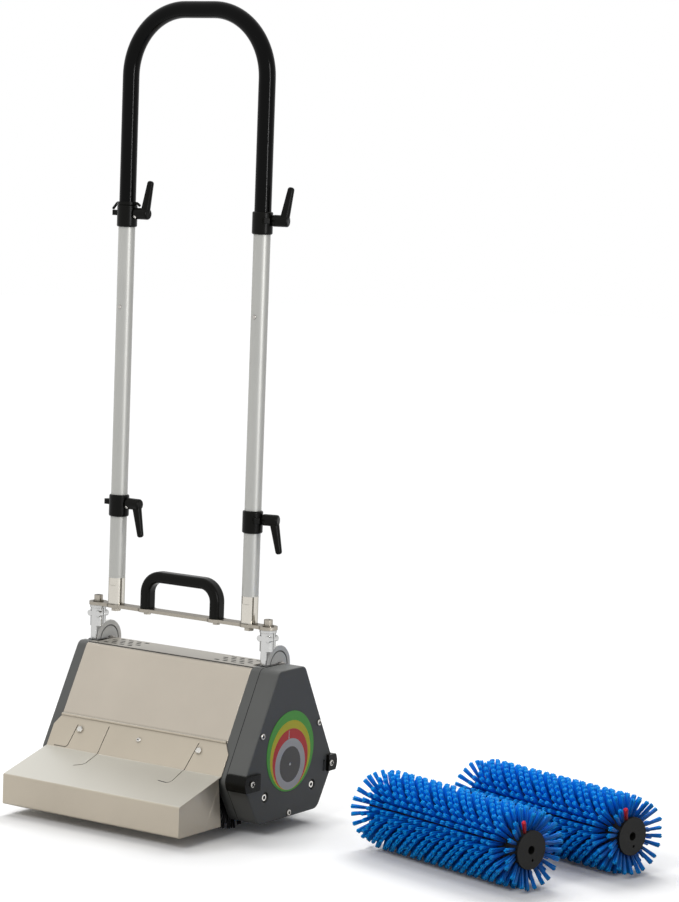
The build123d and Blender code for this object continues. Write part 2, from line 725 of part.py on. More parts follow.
def bristle_ring(rows, end_lean):
    """Tufts fused to a thin ring along Z, cut flat on the side that lies on the floor."""
    with BuildPart() as ring:
        with BuildSketch():
            Circle(CORE_R + TUFT_RING)
            Circle(CORE_R + RUN_FIT, mode=Mode.SUBTRACT)
        extrude(amount=CORE_L)
        with Locations(*tuft_planes(Plane.XY, rows, end_lean)):
            add(tuft.part)
        split(bisect_by=Plane.YZ.offset(BRUSH_Z), keep=Keep.BOTTOM)
    return ring


def placed_ring(plane, ring):
    """Copy of a bristle ring that runs along the plane's normal, with its flat side down."""
    with BuildPart() as bristles:
        with Locations(plane):
            add(ring.part)
    return bristles


# The two fitted brushes, their shafts and their gears
fitted_ring = bristle_ring(FITTED_ROWS, FITTED_END_LEAN)
for name, side in (("front", -1), ("rear", 1)):
    start_plane = across_plane(-CORE_L / 2, side * BRUSH_Y, BRUSH_Z)
    save(brush_core(start_plane), f"{name}_brush_core")
    save(placed_ring(start_plane, fitted_ring), f"{name}_brush_bristles")
    with BuildPart() as brush_shafts:
        for end in SIDES.values():
            y = side * BRUSH_Y
            shaft_in = CORE_L / 2 - HUB_L
            shaft_out = GEAR_X + GEAR_WIDTH + PIN_END if end > 0 else PANEL_HALF + BEARING_DEPTH
            rod((end * shaft_in, y, BRUSH_Z), (end, 0, 0), SHAFT_R, shaft_out - shaft_in)
            flange = end * (CORE_L / 2 + FLANGE_GAP)
            rod((flange, y, BRUSH_Z), (end, 0, 0), FLANGE_R, FLANGE_T)
            pin_y = y + DRIVE_PIN_OFFSET
            rod((flange, pin_y, BRUSH_Z), (-end, 0, 0), DRIVE_PIN_R, DRIVE_PIN_L)
    save(brush_shafts, f"{name}_brush_shafts")
    with BuildPart() as brush_gear:
        spur_gear(side * BRUSH_Y, side > 0)
    save(brush_gear, f"{name}_brush_gear")

# The spare brushes on the floor beside the machine
spare_ring = bristle_ring(SPARE_ROWS, SPARE_END_LEAN)
for name, (x, y, turn) in (("near", SPARE_NEAR), ("far", SPARE_FAR)):
    along = Vector(cos(radians(turn)), sin(radians(turn)), 0)
    start = Vector(x, y, BRUSH_Z) - along * (CORE_L / 2)
    start_plane = Plane(origin=start, x_dir=(0, 0, -1), z_dir=along)
    save(brush_core(start_plane, SPARE_PIN_TURN), f"{name}_spare_core")
    save(placed_ring(start_plane, spare_ring), f"{name}_spare_bristles")


def tray_skin(z):
    """Point on the tray flange's outer face, square out from the slope at height z."""
    return (-slope_half(z) - SHEET * SLOPE_OUT, z + SHEET * SLOPE_UP)


# Dirt tray: flange, sloping top, front and floor in one fold, closed by two cheeks
bend = tray_skin(TRAY_BEND_Z)
tray_fall = (TRAY_FRONT_Z - bend[1]) / (TRAY_FRONT_Y - bend[0])
cheek_top = bend[1] + (TRAY_CHEEK_REAR - bend[0]) * tray_fall
fold = [
    tray_skin(TRAY_FLANGE_Z),
    bend,
    (TRAY_FRONT_Y, TRAY_FRONT_Z),
    (TRAY_FRONT_Y, TRAY_FLOOR_Z),
    (TRAY_FLOOR_REAR, TRAY_FLOOR_Z),
]
slits = [
    [(-117, 7), (-124, -30), (-148, -30)],
    [(-60, 12), (-65, -32), (-62, -56), (-76, -62)],
    [(106, 12), (95, -34), (101, -62), (78, -60)],
]
with BuildPart() as dirt_tray:
    with BuildSketch(Plane.YZ.offset(-TRAY_HALF)):
        with BuildLine():
            FilletPolyline(*fold, radius=TRAY_BEND_R)
            offset(amount=SHEET, side=Side.LEFT)
        make_face()
    extrude(amount=2 * TRAY_HALF)
    for low in (-TRAY_HALF, TRAY_HALF - SHEET):
        with BuildSketch(Plane.YZ.offset(low)):
            with BuildLine():
                Polyline(
                    (TRAY_CHEEK_REAR, cheek_top - SHEET / 2),
                    (TRAY_FRONT_Y + SHEET / 2, TRAY_FRONT_Z - SHEET / 2),
                    (TRAY_FRONT_Y + SHEET / 2, TRAY_FLOOR_Z + SHEET / 2),
                    (TRAY_FLOOR_REAR, TRAY_FLOOR_Z + SHEET / 2),
                    close=True,
                )
            make_face()
        extrude(amount=SHEET)
    bead_y, bead_z = tray_skin(TRAY_FLANGE_Z)
    rod((-TRAY_FLANGE_HALF, bead_y, bead_z), (1, 0, 0), TRAY_BEAD_R, 2 * TRAY_FLANGE_HALF)
    flange_top = slope_plane(-1, 0, TRAY_FLANGE_Z)
    with BuildSketch(flange_top.offset(-SLIT_REACH / 2)):
        for side in SIDES.values():
            spare = TRAY_HALF + TRAY_BEAD_R
            with BuildLine():
                Polyline(
                    (side * TRAY_FLANGE_HALF, 2 * TRAY_BEAD_R),
                    (side * spare, 2 * TRAY_BEAD_R),
                    (side * spare, -TRAY_CORNER_DROP),
                    (side * TRAY_HALF, -TRAY_CORNER_DROP),
                    (side * TRAY_FLANGE_HALF, -TRAY_BEAD_R),
                    close=True,
                )
            make_face()
    extrude(amount=SLIT_REACH, mode=Mode.SUBTRACT)
    split(bisect_by=flange_top.offset(0), keep=Keep.TOP)
    with BuildSketch(slope_plane(-1, 0, TRAY_SCREW_Z)):
        for slit in slits:
            with BuildLine():
                path = FilletPolyline(*slit, radius=SLIT_BEND)
            trace(path, line_width=SLIT_W)
        with Locations((-TRAY_SCREW_X, 0), (0, 0), (TRAY_SCREW_X, 0)):
            Circle(TRAY_SCREW_R + BOLT_PLAY)
    extrude(amount=SLIT_REACH, mode=Mode.SUBTRACT)
save(dirt_tray, "dirt_tray")

# Screws that hold the tray's flange to the cover
with BuildPart() as tray_screws:
    for x in (-TRAY_SCREW_X, 0, TRAY_SCREW_X):
        seat = slope_plane(-1, x, TRAY_SCREW_Z).offset(SHEET)
        with BuildSketch(seat):
            Circle(TRAY_HEAD_R)
        extrude(amount=TRAY_HEAD_H)
        with BuildSketch(seat):
            Circle(TRAY_SCREW_R)
        extrude(amount=-TRAY_SCREW_L)
save(tray_screws, "tray_screws")

# Switch cup on the rear slope, with holes for the rocker's pins
switch_plane = slope_plane(1, SWITCH_X, FITTINGS_Z)
cup_depth = ROCKER_R + BEZEL_WALL + ROCKER_GAP
with BuildPart() as switch_bezel:
    cup_w = SWITCH_W + 2 * BEZEL_WALL
    cup_h = SWITCH_H + 2 * BEZEL_WALL
    with BuildSketch(switch_plane):
        RectangleRounded(cup_w + 2 * BEZEL_RIM, cup_h + 2 * BEZEL_RIM, BEZEL_RIM)
    extrude(amount=BEZEL_T)
    with BuildSketch(switch_plane):
        Rectangle(cup_w, cup_h)
    extrude(amount=-cup_depth)
    with BuildSketch(switch_plane.offset(BEZEL_T)):
        Rectangle(SWITCH_W, SWITCH_H)
    extrude(amount=BEZEL_WALL - cup_depth - BEZEL_T, mode=Mode.SUBTRACT)
    pin_start = switch_plane.origin + Vector(-cup_w / 2, 0, 0)
    rod(pin_start, (1, 0, 0), ROCKER_PIN_R + RUN_FIT, cup_w, Mode.SUBTRACT)
save(switch_bezel, "switch_bezel")

# Rocker, a round-backed key that tips about its pins
rocker_w = SWITCH_W - 2 * ROCKER_GAP
rocker_plane = Plane(
    origin=switch_plane.origin + Vector(rocker_w / 2, 0, 0),
    x_dir=switch_plane.y_dir,
    z_dir=(-1, 0, 0),
)
with BuildPart() as switch_rocker:
    with BuildSketch(rocker_plane):
        Circle(ROCKER_R)
        with BuildLine():
            Polyline(
                (-ROCKER_R - 1, ROCKER_RISE + ROCKER_R),
                (-ROCKER_R - 1, ROCKER_RISE),
                (0, ROCKER_RISE / 2),
                (ROCKER_R + 1, ROCKER_RISE / 2),
                (ROCKER_R + 1, ROCKER_RISE + ROCKER_R),
                close=True,
            )
        make_face(mode=Mode.SUBTRACT)
    extrude(amount=rocker_w)
    pin_w = rocker_w + 2 * ROCKER_PIN_L
    rod(rocker_plane.origin + Vector(ROCKER_PIN_L, 0, 0), (-1, 0, 0), ROCKER_PIN_R, pin_w)
save(switch_rocker, "switch_rocker")

# Cable gland on the rear slope
gland_plane = slope_plane(1, GLAND_X, FITTINGS_Z)
with BuildPart() as cable_gland:
    with BuildSketch(gland_plane):
        RegularPolygon(GLAND_NUT_R, 6)
    extrude(amount=GLAND_NUT_T)
    with BuildSketch(gland_plane.offset(GLAND_NUT_T)):
        Circle(GLAND_BODY_R + SHEET)
    extrude(amount=GLAND_DOME_L, taper=12)
    with BuildSketch(gland_plane):
        Circle(GLAND_BODY_R)
    extrude(amount=-GLAND_INNER_L)
    with BuildSketch(gland_plane.offset(-GLAND_INNER_L)):
        Circle(GLAND_BORE_R)
    extrude(amount=GLAND_INNER_L + GLAND_NUT_T + GLAND_DOME_L, mode=Mode.SUBTRACT)
save(cable_gland, "cable_gland")

# Pivot brackets in the side plates' notches, each a base with two ears
with BuildPart() as pivot_brackets:
    for side in SIDES.values():
        middle = side * FORK_X
        base = (AXLE_Y - BRACKET_HALF, AXLE_Y + BRACKET_HALF)
        low = (POCKET_Z, POCKET_Z + BRACKET_BASE_T)
        block((middle - EAR_OUT, middle + EAR_OUT), base, low)
        for start in (middle - EAR_OUT, middle + EAR_OUT - EAR_T):
            with BuildSketch(Plane.YZ.offset(start)):
                with BuildLine():
                    Polyline(
                        (base[0], POCKET_Z),
                        (base[1], POCKET_Z),
                        (AXLE_Y + EAR_R, AXLE_Z),
                        (AXLE_Y - EAR_R, AXLE_Z),
                        close=True,
                    )
                make_face()
                with Locations((AXLE_Y, AXLE_Z)):
                    Circle(EAR_R)
                    Circle(AXLE_R + RUN_FIT, mode=Mode.SUBTRACT)
            extrude(amount=EAR_T)
save(pivot_brackets, "pivot_brackets")

# Pivot pins, on which the handle tilts and the wheels turn
with BuildPart() as pivot_pins:
    for side in SIDES.values():
        inner = (side * (FORK_X - EAR_OUT), AXLE_Y, AXLE_Z)
        rod(inner, (side, 0, 0), AXLE_R, 2 * EAR_OUT)
        rod(inner, (-side, 0, 0), AXLE_HEAD_R, AXLE_HEAD_T)
save(pivot_pins, "pivot_pins")

# Transport wheels
for name, side in SIDES.items():
    with BuildPart() as wheel:
        start = side * FORK_X - WHEEL_W / 2
        rod((start, AXLE_Y, AXLE_Z), (1, 0, 0), WHEEL_R, WHEEL_W)
        fillet(wheel.edges().filter_by(GeomType.CIRCLE), WHEEL_EDGE)
        for face, inward in ((start, 1), (start + WHEEL_W, -1)):
            with BuildSketch(Plane.YZ.offset(face)):
                with Locations((AXLE_Y, AXLE_Z)):
                    Circle(HUB_DISC_R + HUB_GROOVE_W)
                    Circle(HUB_DISC_R, mode=Mode.SUBTRACT)
            extrude(amount=inward * HUB_GROOVE_D, mode=Mode.SUBTRACT)
        rod((start, AXLE_Y, AXLE_Z), (1, 0, 0), AXLE_R + RUN_FIT, WHEEL_W, Mode.SUBTRACT)
    save(wheel, f"{name}_wheel")

# Knuckles: a split barrel whose front wall runs down as a leg to two arms on the pivot pin
leg_rear = WHEEL_FRONT - LEG_GAP
barrel_end = YOKE_UNDER - BARREL_H
foot_z = AXLE_Z - ARM_HALF
with BuildPart() as knuckles:
    for side in SIDES.values():
        middle = side * FORK_X
        top = (middle, YOKE_Y, YOKE_UNDER)
        rod(top, (0, 0, -1), BARREL_R, YOKE_UNDER - foot_z)
        around_barrel = (YOKE_Y - 2 * BARREL_R, YOKE_Y + 2 * BARREL_R)
        behind_leg = (leg_rear, YOKE_Y + 2 * BARREL_R)
        block((middle - BARREL_R, middle + BARREL_R), behind_leg, (foot_z, barrel_end), Mode.SUBTRACT)
        for hand in SIDES.values():
            beside_leg = (middle + hand * LEG_W / 2, middle + hand * 2 * BARREL_R)
            block(beside_leg, around_barrel, (foot_z, barrel_end), Mode.SUBTRACT)
        arch = (middle - BARREL_R - 1, AXLE_Y, AXLE_Z)
        arch_r = WHEEL_R + BARREL_CLEARANCE
        with BuildSketch(Plane(origin=arch, x_dir=(0, 1, 0), z_dir=(1, 0, 0))) as wheel_room:
            Circle(arch_r)
            with Locations((leg_rear - AXLE_Y, 0)):
                Rectangle(4 * arch_r, 4 * arch_r, align=(Align.MAX, Align.CENTER), mode=Mode.SUBTRACT)
        extrude(wheel_room.sketch, amount=2 * BARREL_R + 2, mode=Mode.SUBTRACT)
        rod(top, (0, 0, -1), BARREL_COLLAR_R, BARREL_COLLAR_T)
        pinch_z = YOKE_UNDER - PINCH_DROP
        for hand in SIDES.values():
            pinch = (middle + hand * PINCH_X, YOKE_Y - PINCH_L / 2, pinch_z)
            rod(pinch, (0, 1, 0), PINCH_R, PINCH_L)
            slit_x = (middle + hand * (BARREL_R - BARREL_SLIT_D), middle + hand * 2 * BARREL_R)
            slit_y = YOKE_Y - BARREL_SLIT_Y
            slit = (slit_y - BARREL_SLIT_W / 2, slit_y + BARREL_SLIT_W / 2)
            block(slit_x, slit, (barrel_end, YOKE_UNDER - BARREL_COLLAR_T), Mode.SUBTRACT)
            arm_in = WHEEL_W / 2 + ARM_GAP
            arm_x = min(middle + hand * arm_in, middle + hand * (arm_in + ARM_T))
            with BuildSketch(Plane.YZ.offset(arm_x)) as arm:
                with BuildLine():
                    Polyline(
                        (YOKE_Y - BARREL_R, AXLE_Z - ARM_HALF),
                        (AXLE_Y, AXLE_Z - ARM_HALF),
                        (AXLE_Y, AXLE_Z + ARM_HALF),
                        (YOKE_Y - BARREL_R, AXLE_Z + ARM_HALF),
                        close=True,
                    )
                make_face()
                with Locations((AXLE_Y, AXLE_Z)):
                    Circle(ARM_BOSS_R)
            extrude(arm.sketch, amount=ARM_T)
        foot_x = (middle - FORK_HALF, middle + FORK_HALF)
        block(foot_x, (YOKE_Y - BARREL_R, leg_rear), (foot_z, AXLE_Z + ARM_HALF))
        hole = (middle - FORK_HALF, AXLE_Y, AXLE_Z)
        rod(hole, (1, 0, 0), AXLE_R + RUN_FIT, 2 * FORK_HALF, Mode.SUBTRACT)
        rod(top, (0, 0, -1), BOLT_R + BOLT_PLAY, BOLT_GRIP + PIN_END, Mode.SUBTRACT)
save(knuckles, "knuckles")

# Yoke plate, a flat bar with round lobes at its bolts
with BuildPart() as yoke_plate:
    with BuildSketch(Plane.XY.offset(YOKE_UNDER)):
        with Locations((0, YOKE_Y)):
            Rectangle(2 * FORK_X, YOKE_BAR_W)
        for x in (FORK_X, TUBE_X, LIFT_X):
            with Locations((-x, YOKE_Y), (x, YOKE_Y)):
                Circle(YOKE_LOBE_R)
        for x, radius in ((FORK_X, BOLT_R), (TUBE_X, BOLT_R), (LIFT_X, HANDLE_BOLT_R)):
            with Locations((-x, YOKE_Y), (x, YOKE_Y)):
                Circle(radius + BOLT_PLAY, mode=Mode.SUBTRACT)
    extrude(amount=YOKE_T)
save(yoke_plate, "yoke_plate")

# Bolts of the yoke plate: cap bolts into the knuckles, hex bolts into sockets and lift handle
with BuildPart() as yoke_bolts:
    for side in SIDES.values():
        seat = (side * FORK_X, YOKE_Y, YOKE_Z)
        rod(seat, (0, 0, 1), WASHER_R, WASHER_T)
        rod((side * FORK_X, YOKE_Y, YOKE_Z + WASHER_T), (0, 0, 1), CAP_HEAD_R, CAP_HEAD_H)
        rod(seat, (0, 0, -1), BOLT_R, YOKE_T + BOLT_GRIP)
        with BuildSketch(Plane.XY.offset(YOKE_Z + WASHER_T + CAP_HEAD_H)):
            with Locations((side * FORK_X, YOKE_Y)):
                RegularPolygon(CAP_SOCKET_R, 6)
        extrude(amount=-CAP_SOCKET_H, mode=Mode.SUBTRACT)
        under = (side * TUBE_X, YOKE_Y, YOKE_UNDER)
        hex_head(under, (0, 0, -1), HEX_HEAD_R, HEX_HEAD_H)
        rod(under, (0, 0, 1), BOLT_R, YOKE_T + BOLT_GRIP)
        under = (side * LIFT_X, YOKE_Y, YOKE_UNDER)
        hex_head(under, (0, 0, -1), HANDLE_HEX_R, HANDLE_HEX_H)
        rod(under, (0, 0, 1), HANDLE_BOLT_R, YOKE_T + BOLT_GRIP)
save(yoke_bolts, "yoke_bolts")

# Lift handle, a flat-sided bar bent down at both ends
with BuildPart() as lift_handle:
    with BuildLine(Plane.XZ.offset(-YOKE_Y)) as lift_path:
        FilletPolyline(
            (-LIFT_X, YOKE_Z),
            (-LIFT_X, LIFT_TOP_Z - LIFT_T / 2),
            (LIFT_X, LIFT_TOP_Z - LIFT_T / 2),
            (LIFT_X, YOKE_Z),
            radius=LIFT_BEND,
        )
    with BuildSketch(Plane(origin=(-LIFT_X, YOKE_Y, YOKE_Z), z_dir=(0, 0, 1))):
        RectangleRounded(LIFT_T, LIFT_DEPTH, LIFT_EDGE)
    sweep(path=lift_path.line)
    for x in (-LIFT_X, LIFT_X):
        hole = (x, YOKE_Y, YOKE_Z)
        rod(hole, (0, 0, 1), HANDLE_BOLT_R + BOLT_PLAY, BOLT_GRIP + PIN_END, Mode.SUBTRACT)
save(lift_handle, "lift_handle")

# Sockets on the yoke plate, with a flat, a slot and a spigot for the lower tubes
with BuildPart() as tube_sockets:
    for x in (-TUBE_X, TUBE_X):
        foot = (x, YOKE_Y, YOKE_Z)
        rod(foot, (0, 0, 1), TUBE_R, SOCKET_TOP_Z - YOKE_Z)
        rod(foot, (0, 0, 1), SLEEVE_R, SOCKET_TOP_Z + SOCKET_SPIGOT - YOKE_Z)
        front = (YOKE_Y - 2 * TUBE_R, YOKE_Y - TUBE_R + SOCKET_FLAT)
        flat = (YOKE_Z, YOKE_Z + SOCKET_FLAT_H)
        block((x - TUBE_R, x + TUBE_R), front, flat, Mode.SUBTRACT)
        slot_x = x + TUBE_R / 2
        slot = (slot_x, slot_x + SOCKET_SLOT_W)
        slot_y = (YOKE_Y - TUBE_R, YOKE_Y - TUBE_R / 2 - SOCKET_SLOT_D / 2)
        block(slot, slot_y, (YOKE_Z, SOCKET_TOP_Z), Mode.SUBTRACT)
        rod(foot, (0, 0, 1), BOLT_R + BOLT_PLAY, BOLT_GRIP + PIN_END, Mode.SUBTRACT)
save(tube_sockets, "tube_sockets")

# Lower tubes on the sockets
with BuildPart() as lower_tubes:
    for x in (-TUBE_X, TUBE_X):
        pipe(x, SOCKET_TOP_Z, LOWER_JOINT_Z, TUBE_R, TUBE_IN)
save(lower_tubes, "lower_tubes")

# Middle tubes, bored for the snap buttons
button_z = SEAM_Z - BUTTON_DROP
with BuildPart() as middle_tubes:
    for x in (-TUBE_X, TUBE_X):
        pipe(x, LOWER_JOINT_Z, SEAM_Z, TUBE_R, TUBE_IN)
        hole = (x, YOKE_Y, button_z)
        rod(hole, (0, -1, 0), BUTTON_R + RUN_FIT, 2 * TUBE_R, Mode.SUBTRACT)
save(middle_tubes, "middle_tubes")

# Upper tubes above the seam
with BuildPart() as upper_tubes:
    for x in (-TUBE_X, TUBE_X):
        pipe(x, SEAM_Z, UPPER_JOINT_Z, TUBE_R, TUBE_IN)
save(upper_tubes, "upper_tubes")

# Inner sleeves: sliding spigots at the lower joint and couplings at the seam
with BuildPart() as inner_sleeves:
    for x in (-TUBE_X, TUBE_X):
        pipe(x, LOWER_JOINT_Z - LOWER_SLEEVE_DOWN, LOWER_JOINT_Z + LOWER_SLEEVE_UP, SLEEVE_R, SLEEVE_IN)
        pipe(x, SEAM_Z - SEAM_SLEEVE_DOWN, SEAM_Z + SEAM_SLEEVE_UP, SLEEVE_R, SLEEVE_IN)
        hole = (x, YOKE_Y, button_z)
        rod(hole, (0, -1, 0), BUTTON_R + RUN_FIT, 2 * TUBE_R, Mode.SUBTRACT)
save(inner_sleeves, "inner_sleeves")

# Snap buttons that lock the seam
for name, side in SIDES.items():
    with BuildPart() as snap_button:
        tip = (side * TUBE_X, YOKE_Y - TUBE_R - BUTTON_PROUD, button_z)
        rod(tip, (0, 1, 0), BUTTON_R, BUTTON_L)
        fillet(snap_button.faces().sort_by(Axis.Y)[0].edges(), BUTTON_PROUD)
    save(snap_button, f"{name}_snap_button")

# Grip, one tube bent into a U with narrower spigots below
with BuildPart() as grip:
    with BuildLine(Plane.XZ.offset(-YOKE_Y)) as grip_path:
        FilletPolyline(
            (-TUBE_X, UPPER_JOINT_Z),
            (-TUBE_X, GRIP_TOP_Z),
            (TUBE_X, GRIP_TOP_Z),
            (TUBE_X, UPPER_JOINT_Z),
            radius=GRIP_BEND,
        )
    with BuildSketch(Plane(origin=(-TUBE_X, YOKE_Y, UPPER_JOINT_Z), z_dir=(0, 0, 1))):
        Circle(TUBE_R)
        Circle(TUBE_R - GRIP_WALL, mode=Mode.SUBTRACT)
    sweep(path=grip_path.line)
    for x in (-TUBE_X, TUBE_X):
        pipe(x, UPPER_JOINT_Z - GRIP_SPIGOT, UPPER_JOINT_Z + GRIP_SPIGOT_UP, SLEEVE_R, SLEEVE_IN)
save(grip, "grip")


def around(name, angle, radius, z):
    """Point beside a handle tube, at an angle and a radius from the tube's axis."""
    turn = radians(angle)
    x = SIDES[name] * TUBE_X
    return Vector(x + radius * cos(turn), YOKE_Y + radius * sin(turn), z)


def outward(angle):
    """Level direction at an angle from X."""
    return Vector(cos(radians(angle)), sin(radians(angle)), 0)


def collar(name, joint_z):
    """Clamp collar at a tube joint, with a lever hole and a square stub."""
    low = joint_z - COLLAR_H / 2
    x = SIDES[name] * TUBE_X
    with BuildSketch(Plane.XY.offset(low)) as disc:
        with Locations((x, YOKE_Y)):
            Circle(COLLAR_R)
    ring = extrude(disc.sketch, amount=COLLAR_H)
    fillet(ring.edges().filter_by(GeomType.CIRCLE), COLLAR_EDGE)
    stub = STUB_ANGLES[name]
    lever_z = joint_z + LEVER_RISE
    stub_foot = around(name, stub, TUBE_R + 1, lever_z)
    with BuildSketch(Plane(stub_foot, z_dir=outward(stub), x_dir=(0, 0, 1))) as square:
        Rectangle(STUB_W, STUB_W)
    extrude(square.sketch, amount=COLLAR_R - TUBE_R - 1 + STUB_L)
    rod((x, YOKE_Y, low), (0, 0, 1), TUBE_R + SLIDE_FIT, COLLAR_H, Mode.SUBTRACT)
    angle = LEVER_ANGLES[name]
    start = around(name, angle, TUBE_R, lever_z)
    rod(start, outward(angle), LEVER_STUD_R + RUN_FIT, COLLAR_R, Mode.SUBTRACT)


def lever(name, joint_z, up):
    """Clamp lever with its stud, hub and tapered arm, pointing up or down."""
    angle = LEVER_ANGLES[name]
    out = outward(angle)
    z = joint_z + LEVER_RISE
    stud_in = TUBE_R + BODY_GAP
    hub_in = COLLAR_R + BODY_GAP
    with BuildPart() as handle:
        rod(around(name, angle, hub_in, z), out, LEVER_HUB_R, LEVER_HUB_L)
        fillet(handle.edges().filter_by(GeomType.CIRCLE), LEVER_HUB_EDGE)
        rod(around(name, angle, stud_in, z), out, LEVER_STUD_R, hub_in - stud_in + LEVER_HUB_L / 2)
        arm = Vector(0, 0, up) * cos(radians(LEVER_TILT)) + out * sin(radians(LEVER_TILT))
        root = around(name, angle, hub_in + LEVER_HUB_L - LEVER_ROOT_R, z)
        with BuildSketch(Plane(root, z_dir=arm)):
            Circle(LEVER_ROOT_R)
        with BuildSketch(Plane(root + arm * LEVER_L, z_dir=arm)):
            Circle(LEVER_TIP_R)
        loft()
        tip = handle.faces().sort_by(Axis(origin=root, direction=arm))[-1]
        fillet(tip.edges(), LEVER_TIP_R * 0.8)
    return handle


# Clamp collars and levers: the lower levers hang, the upper ones stand
for level, joint_z, up in (("lower", LOWER_JOINT_Z, -1), ("upper", UPPER_JOINT_Z, 1)):
    with BuildPart() as collars:
        for name in SIDES:
            collar(name, joint_z)
    save(collars, f"{level}_collars")
    for name in SIDES:
        save(lever(name, joint_z, up), f"{name}_{level}_lever")

# Cable hook on top of the upper left collar: a ring with an ear that bends down at each side
hook_z = UPPER_JOINT_Z + COLLAR_H / 2
ear_z = hook_z + HOOK_RING_T / 2
with BuildPart() as cable_hook:
    for name, (spread, drop) in HOOK_EARS.items():
        side = SIDES[name]
        with BuildLine(Plane.XZ.offset(-YOKE_Y)) as ear_path:
            FilletPolyline(
                (-TUBE_X + side * COLLAR_R, ear_z),
                (-TUBE_X + side * HOOK_TOP_SPREAD, ear_z),
                (-TUBE_X + side * spread, hook_z - drop),
                radius=HOOK_BEND,
            )
        with BuildSketch(Plane(ear_path.line @ 0, z_dir=ear_path.line % 0)):
            Circle(HOOK_R)
        sweep(path=ear_path.line)
        rod((-TUBE_X + side * (TUBE_R + 1), YOKE_Y, ear_z), (side, 0, 0), HOOK_R, COLLAR_R - TUBE_R)
    pipe(-TUBE_X, hook_z, hook_z + HOOK_RING_T, COLLAR_R, TUBE_R + BODY_GAP)
save(cable_hook, "cable_hook")
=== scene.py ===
import json
import random
from math import cos, pi, radians, sin, tan

import bpy
from mathutils import Matrix, Vector


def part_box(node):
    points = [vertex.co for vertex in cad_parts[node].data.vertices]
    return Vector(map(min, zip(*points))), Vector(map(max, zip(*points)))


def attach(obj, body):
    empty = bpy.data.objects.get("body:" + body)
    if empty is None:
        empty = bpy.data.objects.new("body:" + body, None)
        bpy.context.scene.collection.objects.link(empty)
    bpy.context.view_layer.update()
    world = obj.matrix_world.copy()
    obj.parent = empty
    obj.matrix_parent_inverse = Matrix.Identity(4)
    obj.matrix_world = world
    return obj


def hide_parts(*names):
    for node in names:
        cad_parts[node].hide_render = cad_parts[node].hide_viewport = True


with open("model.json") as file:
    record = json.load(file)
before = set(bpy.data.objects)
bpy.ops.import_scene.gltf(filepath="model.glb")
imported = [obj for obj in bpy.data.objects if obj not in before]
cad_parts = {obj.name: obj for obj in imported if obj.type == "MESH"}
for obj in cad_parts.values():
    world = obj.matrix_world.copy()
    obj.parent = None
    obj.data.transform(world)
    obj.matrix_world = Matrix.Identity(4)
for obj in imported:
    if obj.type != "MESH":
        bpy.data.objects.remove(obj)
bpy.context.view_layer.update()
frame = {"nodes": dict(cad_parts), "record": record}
nodes = frame["nodes"]
random.seed(7)

# Directions, a hexagon's sides, and thickness and bevel of prints and of the flat dark sockets painted as
# shade
UP = Vector((0.0, 0.0, 1.0))
RIGHT_WAY = Vector((1.0, 0.0, 0.0))
HEX = 6
PRINT_T = 0.0001
SOCKET_WALL = 0.7
SOCKET_FRONT = 0.85

# Brushes, in metres and degrees
CORE_R = 0.027
CORE_L = 0.300
BRUSH_R = 0.0583
FITTED_R = 0.0565
BRUSH_Z = 0.0565
BRUSH_Y = 0.060
SPARE_TURN = -14.75
SPARE_NEAR = (0.508, -0.032)
SPARE_FAR = (0.5745, 0.134)

# Tufts: pairs in chevrons round the core, and one row at each end
TUFT_COLUMNS = 36
TUFT_GROUPS = range(-12, 20)
TUFT_GROUP = 0.02875
TUFT_PAIR = 0.0122
TUFT_LEAN = 2.0
CHEVRON_SLOPE = 0.0602
CHEVRON_ANGLE = 161.6
CHEVRON_PLACE = 0.0065
COLUMN_SHIFT = 1.7
PAIR_MARGIN = 0.013
END_MARGIN = 0.006
END_COLUMNS = 24
END_STEP = (0.3, 0.7)
END_REACH = (0.97, 1.0)
LEFT_END_LEAN = 1.5
RIGHT_END_LEAN = 1.0

# Red wear markers
MARKER_TURN = 114.0
MARKER_ROOM = 13.0
MARKER_LEAN = 14.0
MARKER_L = 0.020
MARKER_INSET = 0.0035
MARKER_STRANDS = 10

# Filaments: sizes in metres, widths and lengths as shares, jitter of the angle in radians
FILAMENT_R = 0.00125
FILAMENT_SIDES = 5
FOOT_WIDTH = 0.8
TIP_WIDTH = 0.55
TIP_ROUND = 1.2
SHOULDER_RISE = 0.9
ROOT_SUNK = 0.0005
ROOT_SPREAD = 0.0012
TIP_SPREAD = 0.0023
TIP_JITTER = 0.0005
TURN_JITTER = 0.3
MIDDLE_LENGTH = (0.985, 1.0)
OUTER_LENGTH = (0.95, 0.985)
LOWEST_Z = 0.0004

# Drive cover, its screws and the bolts in its recesses
COVER_FACE_X = 0.203
CLIP_T = 0.005
SCREW_HEAD = 0.0025
COVER_SCREWS = [(-0.072, 0.148), (0.072, 0.148), (0.0, 0.0245)]
CLIP_SCREWS = [(-0.101, 0.0833), (0.101, 0.0833)]
COVER_SOCKET_R = 0.0026
COVER_SOCKET_TURN = 0.3
CROSS_L = 0.0064
CROSS_W = 0.0022
RECESS_DEPTH = 0.012
RECESS_BOLT = [(0.0, 0.0054), (0.0096, 0.0054), (0.0104, 0.0048)]
RECESS_BOLT_SIDES = 24
BOLT_SOCKET_R = 0.0031
BOLT_SOCKET_TURN = 0.2

# Gauge on the cover: each disc's radius, height of its centre and colour
GAUGE_RINGS = [
    (0.0595, 0.1160, (0.12, 0.60, 0.07)),
    (0.0513, 0.1102, (1.00, 0.88, 0.04)),
    (0.0450, 0.1043, (0.95, 0.05, 0.05)),
    (0.0379, 0.0968, (0.80, 0.78, 0.77)),
    (0.0264, 0.0966, (0.095, 0.090, 0.085)),
    (0.0022, 0.0966, (0.90, 0.90, 0.88)),
]
ARROW_Y = -0.005
ARROW = [(0.0, 0.1340), (0.0017, 0.1372), (0.0006, 0.1372), (0.0006, 0.1470)]
